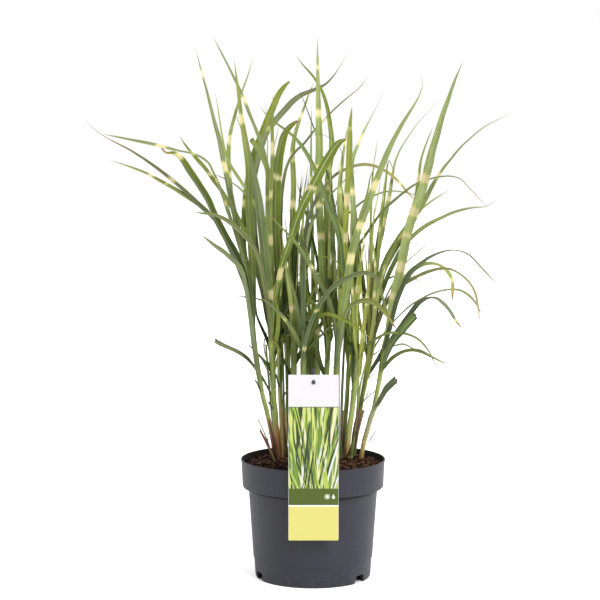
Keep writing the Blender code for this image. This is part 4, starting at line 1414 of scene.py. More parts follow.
BLADE_DRESSES: dict[str, BladeDress] = {
    "tallest": BladeDress("mid_right", Tone.LEAF, Tone.FRESH, ((64, 70), (108, 117), (165, 170),
        (203, 210), (232, 240)), shape=((0.0, 1.0), (0.35, 0.98), (0.6, 0.96), (0.8, 0.92),
        (1.0, 0.75))),
    "front_midrib": BladeDress("left_main", Tone.LEAF, Tone.VIVID, ((185, 191), (268, 280)), (), 0.9,
        0.004, shape=BROAD_END, fold=0.36),
    "centre_left_broad": BladeDress("left_main", Tone.LEAF, Tone.GLAUCOUS, ((290, 301),)),
    "right_great": BladeDress("right_front", Tone.LEAF, Tone.SAGE, ((180, 190), (221, 231), (252, 265)),
        tip=0.03, shape=((0.0, 1.0), (0.3, 1.0), (0.65, 0.78), (0.85, 0.66), (0.95, 0.3), (1.0, 0.2))),
    "right_great_outer": BladeDress("right_shoot", Tone.PALE, Tone.SAGE, ((173, 185), (205, 218),
        (232, 240), (262, 273), (293, 302)), shape=FULL),
    "left_hooked": BladeDress("left_outer", Tone.SHADE, Tone.BRIGHT, (), ((175, 181),), 0.3, 0.012,
        shape=HOOKED_END, open_to_eye=0.8, fold=0.6, change=2.6),
    "far_left_low": BladeDress("left_outer", Tone.SHADE, Tone.LIME, (), ((148.5, 153.5),
        (165.5, 167.0)), change=1.8, shape=((0.0, 1.0), (0.6, 1.0), (0.7, 1.05), (0.8, 1.1),
        (1.0, 0.9))),
    "far_left_high": BladeDress("left_outer", Tone.DEEP, Tone.UMBER, (), ((168.5, 173.5),), tip=0.06,
        change=2.2, shape=((0.0, 0.9), (0.6, 0.8), (0.8, 0.5), (1.0, 0.4))),
    "left_kinked": BladeDress("left_outer", Tone.GLAUCOUS, Tone.GLAUCOUS, ((178, 182), (201, 205)),
        ((155, 166), (191, 195)), 0.2, 0.005, False, KINKED),
    "left_crossing": BladeDress("left_main", Tone.LEAF, Tone.BRIGHT, ((151, 155), (172, 176)),
        shape=BROAD_LATE),
    "left_curled": BladeDress("left_main", Tone.GLAUCOUS, Tone.GLAUCOUS, tip=0.006, shape=((0.0, 1.0),
        (0.6, 1.1), (0.8, 1.6), (1.0, 2.0))),
    "left_lowest": BladeDress("left_outer", Tone.GLAUCOUS, Tone.GLAUCOUS, tip=0.008, shape=BROAD_LATE),
    "upper_left_thin": BladeDress("left_outer", Tone.GLAUCOUS, Tone.GLAUCOUS, ((70, 79), (160, 173))),
    "upper_left_long": BladeDress("left_main", Tone.LEAF, Tone.GLAUCOUS, ((95, 104), (165, 178)),
        shape=((0.0, 1.0), (0.7, 0.9), (0.85, 1.2), (1.0, 1.5))),
    "left_upright_pale": BladeDress("left_outer", Tone.DEEP, Tone.FRESH, ((114, 126),), shape=FULL),
    "left_dark_upright": BladeDress("left_outer", Tone.DEEP, Tone.BRIGHT, ((199, 207),), tip=0.003,
        shape=BROAD_END, open_to_eye=0.8, fold=0.45),
    "upper_right_arch": BladeDress("left_behind", Tone.GLAUCOUS, Tone.UMBER, ((127, 131),), tip=0.03,
        change=4.5, shape=((0.0, 1.0), (0.65, 0.9), (0.78, 1.3), (0.86, 1.1), (0.93, 0.6), (1.0, 0.3))),
    "centre_left_upright": BladeDress("left_inner", Tone.FRESH, Tone.FRESH, ((141, 155), (190, 199),
        (234, 245)), shape=FULL),
    "centre_broad_olive": BladeDress("left_inner", Tone.DEEP, Tone.BRIGHT, ((174, 179),), rib=0.4,
        tip=0.004, shape=BROAD_END, fold=0.4),
    "long_diagonal": BladeDress("left_behind", Tone.LEAF, Tone.UMBER, (), ((321, 327),), tip=0.04,
        shape=LONG_THREAD, change=1.5),
    "centre_cream": BladeDress("mid_left", Tone.LEAF, Tone.FRESH, ((111, 120), (152, 162), (200, 209))),
    "right_bright": BladeDress("right_thin", Tone.LIME, Tone.LIME, ((127, 132), (192, 206), (232, 245),
        (285, 300)), tip=0.006, shape=((0.0, 1.0), (0.7, 1.0), (0.85, 1.8), (1.0, 2.0))),
    "right_grey": BladeDress("right_main", Tone.LEAF, Tone.SAGE, ((134, 145), (188, 196)),
        shape=FADING_END),
    "right_slender": BladeDress("right_inner", Tone.LEAF, Tone.SAGE, ((195, 203), (217, 227),
        (236, 245)), tip=0.030, shape=NARROW_END),
    "far_right_high": BladeDress("right_inner", Tone.LEAF, Tone.GLAUCOUS, ((172, 180), (212, 218),
        (232, 240), (265, 270)), tip=0.05, shape=NARROW_END),
    "centre_arch_far": BladeDress("mid_front", Tone.SLATE, Tone.GOLD, (), ((398, 402),), 0.25, 0.018,
        change=3.5, shape=((0.0, 1.0), (0.4, 0.95), (0.58, 0.7), (0.75, 1.0), (0.9, 1.5), (1.0, 1.0))),
    "centre_arch_thin": BladeDress("mid_back", Tone.LEAF, Tone.LEAF),
    "right_arch_drooping": BladeDress("right_thin", Tone.LEAF, Tone.UMBER, tip=0.04, change=2.5),
    "far_right_level": BladeDress("right_inner", Tone.LEAF, Tone.GLAUCOUS, open_to_eye=0.9,
        shape=((0.0, 1.0), (0.5, 0.95), (0.7, 0.9), (0.85, 0.8), (0.93, 0.4), (1.0, 0.3))),
    "right_arch_long": BladeDress("right_shoot", Tone.SLATE, Tone.UMBER, rib=0.4, tip=0.02, change=3.5,
        shape=((0.0, 1.0), (0.5, 1.0), (0.62, 0.5), (0.72, 0.3), (0.85, 0.8), (1.0, 1.4))),
    "right_arch_hanging": BladeDress("right_shoot", Tone.SLATE, Tone.LIME, (), (), 0.3, 0.024, False,
        PINCHED, 0.8, ((451.5, 279.0, 0.0035),), change=2.2),
    "right_arch_low": BladeDress("right_inner", Tone.GLAUCOUS, Tone.UMBER, tip=0.017, change=3.5,
        shape=((0.0, 1.0), (0.45, 0.7), (0.7, 0.5), (0.82, 1.1), (0.9, 1.4), (1.0, 1.8))),
    "right_arch_wiry": BladeDress("right_inner", Tone.GLAUCOUS, Tone.GLAUCOUS, shape=((0.0, 0.9),
        (0.35, 0.6), (0.7, 0.8), (0.8, 1.5), (0.9, 2.5), (1.0, 3.4))),
    "right_arch_broad": BladeDress("right_inner", Tone.SLATE, Tone.MIST, (), (), 0.3, 0.012, False,
        PINCHED, 0.75, ((456.5, 319.5, 0.0025),)),
    "right_cut":
        BladeDress("right_shoot", Tone.SLATE, Tone.LEAF, rib=0.7, blunt=True, shape=WIDENS_LATE),
    "front_arch_left": BladeDress("mid_front", Tone.SLATE, Tone.FRESH, rib=0.5, change=1.6,
        shape=((0.0, 1.0), (0.6, 0.9), (0.8, 1.1), (1.0, 1.2)), spots=((299.5, 349.0, 0.003),
        (317.0, 311.0, 0.002))),
    "front_arch_right": BladeDress("right_front", Tone.SLATE, Tone.LIME, rib=0.5, tip=0.022, change=1.3,
        shape=((0.0, 1.0), (0.55, 0.95), (0.75, 1.4), (1.0, 1.6))),
    "front_diagonal": BladeDress("right_front", Tone.SLATE, Tone.LEAF, rib=0.4, shape=SLIM,
        spots=((311.5, 267.5, 0.003),)),
    "left_cut": BladeDress("left_main", Tone.GLAUCOUS, Tone.MIST, blunt=True, shape=WIDENS_LATE),
    "right_stub":
        BladeDress("right_shoot", Tone.MIST, Tone.MIST, rib=0.4, blunt=True, shape=WIDENS_LATE),
}


def band_distance(centres: np.ndarray, rows: Spans, columns: Spans = (),
                  spots: Spots = (), extra: Spans = ()) -> np.ndarray:
    """Return each centre's distance to the nearest band's edge, below 0 inside a band.

    Args:
        centres: The leaf's centres.
        rows: Bands as spans of picture rows.
        columns: Bands as spans of picture columns.
        spots: Bands as picture column, picture row and half length.
        extra: Bands as spans of distance from the collar.

    Returns:
        One distance per centre.
    """
    run = along(centres)
    seen = SIGHT.picture(centres)
    best = np.full(len(centres), 1.0)
    spans = list(extra)
    for axis, marks in ((1, rows), (0, columns)):
        for low, high in marks:
            inside = (seen[:, axis] >= low - 0.5) & (seen[:, axis] <= high + 0.5)
            if inside.any():
                places = run[inside]
                spans.append((places.min(), places.max()))
    for column, row, reach in spots:
        place = run[np.argmin(np.hypot(seen[:, 0] - column, seen[:, 1] - row))]
        spans.append((place - reach, place + reach))
    for start, end in spans:
        best = np.minimum(best, np.maximum(start - run, run - end))
    return best


BAND_START: tuple[float, float] = (0.05, 0.11)
BAND_LENGTH: tuple[float, float] = (0.006, 0.012)
BAND_STEP: tuple[float, float] = (0.034, 0.060)
BARE_TIP: float = 0.03


def chance_bands(length: float, chooser: random.Random, share: float) -> Spans:
    """Return pale bands at natural steps along a leaf.

    Args:
        length: The leaf's length.
        chooser: The seeded source of chance.
        share: How likely each place is to carry a band.

    Returns:
        Spans of distance from the collar.
    """
    spans = []
    place = chooser.uniform(*BAND_START)
    while place < length - BARE_TIP:
        if chooser.random() < share:
            spans.append((place, place + chooser.uniform(*BAND_LENGTH)))
        place += chooser.uniform(*BAND_STEP)
    return tuple(spans)


@dataclass
class Leaf:
    """One blade with the sheath that wraps its culm below it.

    Args:
        course: The blade's line.
        culm: The culm that its sheath wraps.
        seed: Name that its small variations come from.
        step: Distance between its rows.
        shape: Width factors as pairs of share of the length and factor.
        open_to_eye: Least share of the width that the photograph's eye sees.
        roll: Half the angle that the blade is rolled through, 0 for an open blade.
        fold: How deep the open blade is folded, as a share of its half width.
    """

    course: Course
    culm: Culm
    seed: str
    step: float
    shape: Spans = LONG_TAPER
    open_to_eye: float = 0.62
    roll: float = 0.0
    fold: float = 0.22
    sheath_rows: int = 10
    join_rows: int = 7
    sheath_gap: float = 0.00012
    sheath_step: float = 0.00008
    sheath_opens: float = 0.0002
    sheath_wrap: tuple[float, float] = (168.0, 90.0)
    sheath_thickness: float = 0.55
    least_sheath: float = 0.012
    collar_skip: float = 0.014
    collar_chance: float = 0.3
    collar_row: float = 0.004
    collar_reach: float = 0.002
    collar_floor: float = -0.001
    collar_fade: float = 0.003
    collar_drop: float = 0.001
    foot_drop: float = 0.002
    skip_share: float = 0.3
    most_sheaths: int = 9
    skin_chance: tuple[float, float] = (0.9, 1.1)
    rag: float = 0.0016
    fold_power: float = 1.4
    waves: tuple[float, float] = (150.0, 67.0)
    wave_lift: float = 0.045
    fine_wave: float = 0.6
    warmth: float = 0.06
    brightness: tuple[float, float] = (0.86, 1.10)

    def __post_init__(self) -> None:
        """Refine the line, and start the source of chance."""
        self.course = self.course.refined(self.step, self.shape, self.open_to_eye,
                                          self.shape in OWN_OUTLINES)
        self.chooser = random.Random(self.seed)

    def lamina(self) -> np.ndarray:
        """Shape the blade.

        Returns:
            Its folded, slightly wavy rows of points.
        """
        course = self.course
        tangents = unit(np.gradient(course.centres, axis=0))
        sideways = np.cross(tangents, course.faces)
        run = along(course.centres)
        halves = course.halves[:, None]
        flat = ACROSS[None, :] * halves
        fold = -self.fold * halves * (1.0 - np.abs(ACROSS[None, :]) ** self.fold_power)
        phase = self.chooser.uniform(0.0, 6.0)
        if self.roll > 0.0:
            around = (ACROSS * self.roll)[None, :, None]
            arm = halves[..., None]
            return course.centres[:, None] + arm * (
                sideways[:, None] * np.sin(around) + course.faces[:, None] * np.cos(around))
        wave = np.sin(run * self.waves[0] + phase)
        wave += self.fine_wave * np.sin(run * self.waves[1] + phase * 2.0)
        lift = self.wave_lift * wave[:, None] * halves * ACROSS ** 2 * np.sign(ACROSS)
        grid = course.centres[:, None] + sideways[:, None] * flat[..., None]
        return grid + course.faces[:, None] * (fold + lift)[..., None]

    def wrapped(self, grid: np.ndarray, length: float) -> tuple[np.ndarray, int]:
        """Return sheath and joining rows that lead from the culm into the blade.

        Args:
            grid: The blade's rows.
            length: The sheath's length down the culm.

        Returns:
            All rows, and how many of them come before the blade's own.
        """
        culm = self.culm
        run = along(grid[:, 3])
        skip = int(np.searchsorted(run, min(self.collar_skip, run[-1] * self.skip_share)))
        first = grid[skip]
        base = grid[0, 3]
        foot_height = max(base[2] - length, culm.axis[1][2] - self.foot_drop)
        collar_height = max(foot_height + self.least_sheath, base[2] - self.collar_drop)
        culm.sheaths += 1
        proud = self.sheath_step * min(culm.sheaths, self.most_sheaths)
        wrapped, opened = self.sheath_wrap
        rows = []
        for k in range(self.sheath_rows):
            share = k / (self.sheath_rows - 1)
            height = foot_height + (collar_height - foot_height) * share
            centre, radius = culm.at_height(height)
            rise = culm.rise(height)
            out = first[3] - culm.at_height(first[3][2])[0]
            out = unit(out - rise * out.dot(rise))
            side = np.cross(rise, out)
            if side.dot(first[-1] - first[0]) < 0.0:
                side = -side
            angles = ACROSS * math.radians(wrapped + (opened - wrapped) * share ** 2)
            shell = radius + self.sheath_gap + proud * share ** 0.5
            shell += self.sheath_opens * share ** 4
            rows.append(centre + shell * (out * np.cos(angles)[:, None]
                                          + side * np.sin(angles)[:, None]))
        top = rows[-1]
        lead = culm.rise(collar_height)
        after = unit(grid[min(skip + 2, len(grid) - 1), 3] - grid[skip, 3])
        reach = np.linalg.norm(first - top, axis=1, keepdims=True)
        for k in range(1, self.join_rows):
            rows.append(bent(k / self.join_rows, top, reach * lead, first, reach * after))
        return np.concatenate((np.array(rows), grid[skip:])), len(rows)

    def rows(self, low: np.ndarray, high: np.ndarray, bands: np.ndarray, rib: float,
             tip: float, sheath: float, dry: float = 0.0, change: float = 0.8) -> Rows:
        """Return the leaf's rows with their colouring.

        Args:
            low: Linear tone at the collar.
            high: Linear tone at the tip.
            bands: Distance to the nearest band's edge per centre of the course.
            rib: Strength of the pale midrib.
            tip: Length of the dry tip.
            sheath: Length of the sheath, 0 for none.
            dry: How withered the leaf is.
            change: How late the tone changes, 1 for evenly from collar to tip.

        Returns:
            The rows.
        """
        grid = self.lamina()
        run = along(self.course.centres)
        share = (run / run[-1])[:, None]
        tones = low + (high - low) * share ** change
        warmth = self.chooser.uniform(-self.warmth, self.warmth)
        tones = tones * self.chooser.uniform(*self.brightness) * np.array((
            1.0 + warmth, 1.0, 1.0 - 2.0 * warmth))
        ribs = np.full(len(grid), rib)
        thick = np.ones(len(grid))
        before = 0
        if self.course.blunt:
            tangent = unit(grid[-1, 3] - grid[-2, 3])
            rag = np.array([self.chooser.uniform(-1.0, 1.0) for _ in ACROSS])
            grid[-1] += tangent * (rag * self.rag)[:, None]
        if sheath > 0.0:
            whole, before = self.wrapped(grid, sheath)
            kept = len(whole) - before
            rows_seen = SIGHT.picture(whole[:before, 3])[:, 1]
            skins = np.array([self.culm.tone(row) for row in rows_seen])
            blend = np.clip((np.arange(before) - self.sheath_rows + 2)
                            / (self.join_rows + 1), 0.0, 1.0)[:, None]
            first = tones[-kept]
            skins = skins * self.chooser.uniform(*self.skin_chance)
            tones = np.concatenate((skins * (1.0 - blend) + first * blend, tones[-kept:]))
            collar = np.abs(np.arange(before) - (self.sheath_rows - 0.5)) * self.collar_row
            if self.chooser.random() < self.collar_chance:
                collar = collar - self.collar_reach
            collar = np.maximum(collar, self.collar_floor) + self.collar_fade
            bands = np.concatenate((collar, bands[-kept:]))
            ribs = np.concatenate((np.full(before, 0.0), ribs[-kept:]))
            thick = np.concatenate((np.full(before, self.sheath_thickness), thick[-kept:]))
            grid = whole
        towards = SIGHT.towards(self.course.centres)
        seen_side = 1.0 if (self.course.faces * towards).sum() >= 0.0 else -1.0
        return Rows(grid, tones, bands, thick, self.chooser.random(), ribs,
                    np.full(len(grid), dry), tip, self.course.blunt, seen_side)


@dataclass(frozen=True)
class Strand:
    """A thinner leaf that only the scene has: its culm, picture track and colouring."""

    culm: str
    width: float
    reach: float
    low: Tone
    high: Tone
    track: Track
    rows: Spans = ()
    turn: float = 15.0
    rooted: bool = True
    dry: float = 0.0
    sheath: float = 0.022
    tip: float = 0.010
    blunt: bool = False
    roll: float = 0.0
    GAP: ClassVar[float] = 0.0012
    LOOSE_GAP: ClassVar[float] = 0.4
    LEAVES_BELOW: ClassVar[float] = 4.0
    START: ClassVar[tuple[float, float]] = (14.0, 2.0)
    BEND_ACROSS: ClassVar[tuple[float, float]] = (0.7, 0.3)
    BEND_DOWN: ClassVar[tuple[float, float]] = (0.55, 0.45)
    LEANS_BY: ClassVar[float] = 1.6
    TURN_CHANCE: ClassVar[float] = 25.0
    FOOT_WIDTH: ClassVar[float] = 0.62
    WIDENS_OVER: ClassVar[float] = 0.25
    TAPERS_OVER: ClassVar[float] = 0.36
    TAPERS_BY: ClassVar[float] = 0.65

    def course(self, culms: dict[str, Culm], chooser: random.Random) -> Course:
        """Return the strand's line in the shared frame.

        Args:
            culms: The culms by name.
            chooser: The seeded source of chance.

        Returns:
            The course, from the collar to the tip.
        """
        culm = culms["culm_" + self.culm]
        track = list(self.track)
        top = culm.axis[-1]
        top_seen = SIGHT.picture(top[None])[0]
        if self.rooted and track[0][1] < top_seen[1] - self.LEAVES_BELOW:
            bend = tuple(top_seen[k] * near + track[0][k] * far
                         for k, (near, far) in enumerate((self.BEND_ACROSS, self.BEND_DOWN)))
            below, above = self.START
            track = [(top_seen[0], top_seen[1] + below), (top_seen[0], top_seen[1] - above),
                     bend] + track
        height = culm.height_of_row(track[0][1])
        centre, radius = culm.at_height(height)
        side = 1.0 if self.reach / 1000.0 > centre[1] else -1.0
        base = centre[1] + side * (radius + self.GAP) * (1.0 if self.rooted else self.LOOSE_GAP)
        flat = np.array(track, float)
        shares = along(flat)
        shares = shares / shares[-1]
        tip = self.reach / 1000.0
        points = np.array([
            SIGHT.point(across, down, base + (tip - base) * share ** self.LEANS_BY)
            for (across, down), share in zip(track, shares)])
        tangents = unit(np.gradient(points, axis=0))
        to_eye = square_to(SIGHT.towards(points), tangents)
        right = np.cross(tangents, to_eye)
        twist = chooser.uniform(-self.TURN_CHANCE, self.TURN_CHANCE)
        angles = np.radians(self.turn + twist * shares)[:, None]
        faces = to_eye * np.cos(angles) + right * np.sin(angles)
        widening = np.clip(shares / self.WIDENS_OVER, 0.0, 1.0)
        widening = self.FOOT_WIDTH + (1.0 - self.FOOT_WIDTH) * widening
        if self.blunt:
            taper = np.ones(len(shares))
        else:
            taper = np.clip((1.0 - shares) / self.TAPERS_OVER, 0.0, 1.0) ** self.TAPERS_BY
        halves = self.width / 2000.0 * widening * taper
        return Course(points, halves, faces, self.blunt)


STEM_ROLL: float = 2.9
SCRAP_ROLL: float = 1.1
SCRAP_DRYNESS: float = 0.9
SCRAP_TURN: float = 25.0


def stem(culm: str, width: float, reach: float, low: Tone, high: Tone, track: Track) -> Strand:
    """Return a young stem, rolled nearly shut, that stands beside a culm."""
    return Strand(culm, width, reach, low, high, track, turn=0.0, rooted=False, tip=0.0,
                  blunt=True, roll=STEM_ROLL)


def scrap(culm: str, width: float, reach: float, low: Tone, high: Tone, track: Track) -> Strand:
    """Return a dry or torn leaf end that clings to a culm.

    Args:
        culm: The culm's short name.
        width: The scrap's width in millimetres.
        reach: The depth of its tip in millimetres.
        low: The tone at its foot.
        high: The tone at its tip.
        track: The places where the picture shows it, from its foot to its tip.

    Returns:
        The scrap.
    """
    dry = any(tone.name.startswith("DRY") for tone in (low, high))
    return Strand(culm, width, reach, low, high, track, turn=SCRAP_TURN, rooted=False,
                  dry=SCRAP_DRYNESS if dry else 0.0, sheath=0.0, tip=0.0, blunt=True,
                  roll=SCRAP_ROLL)


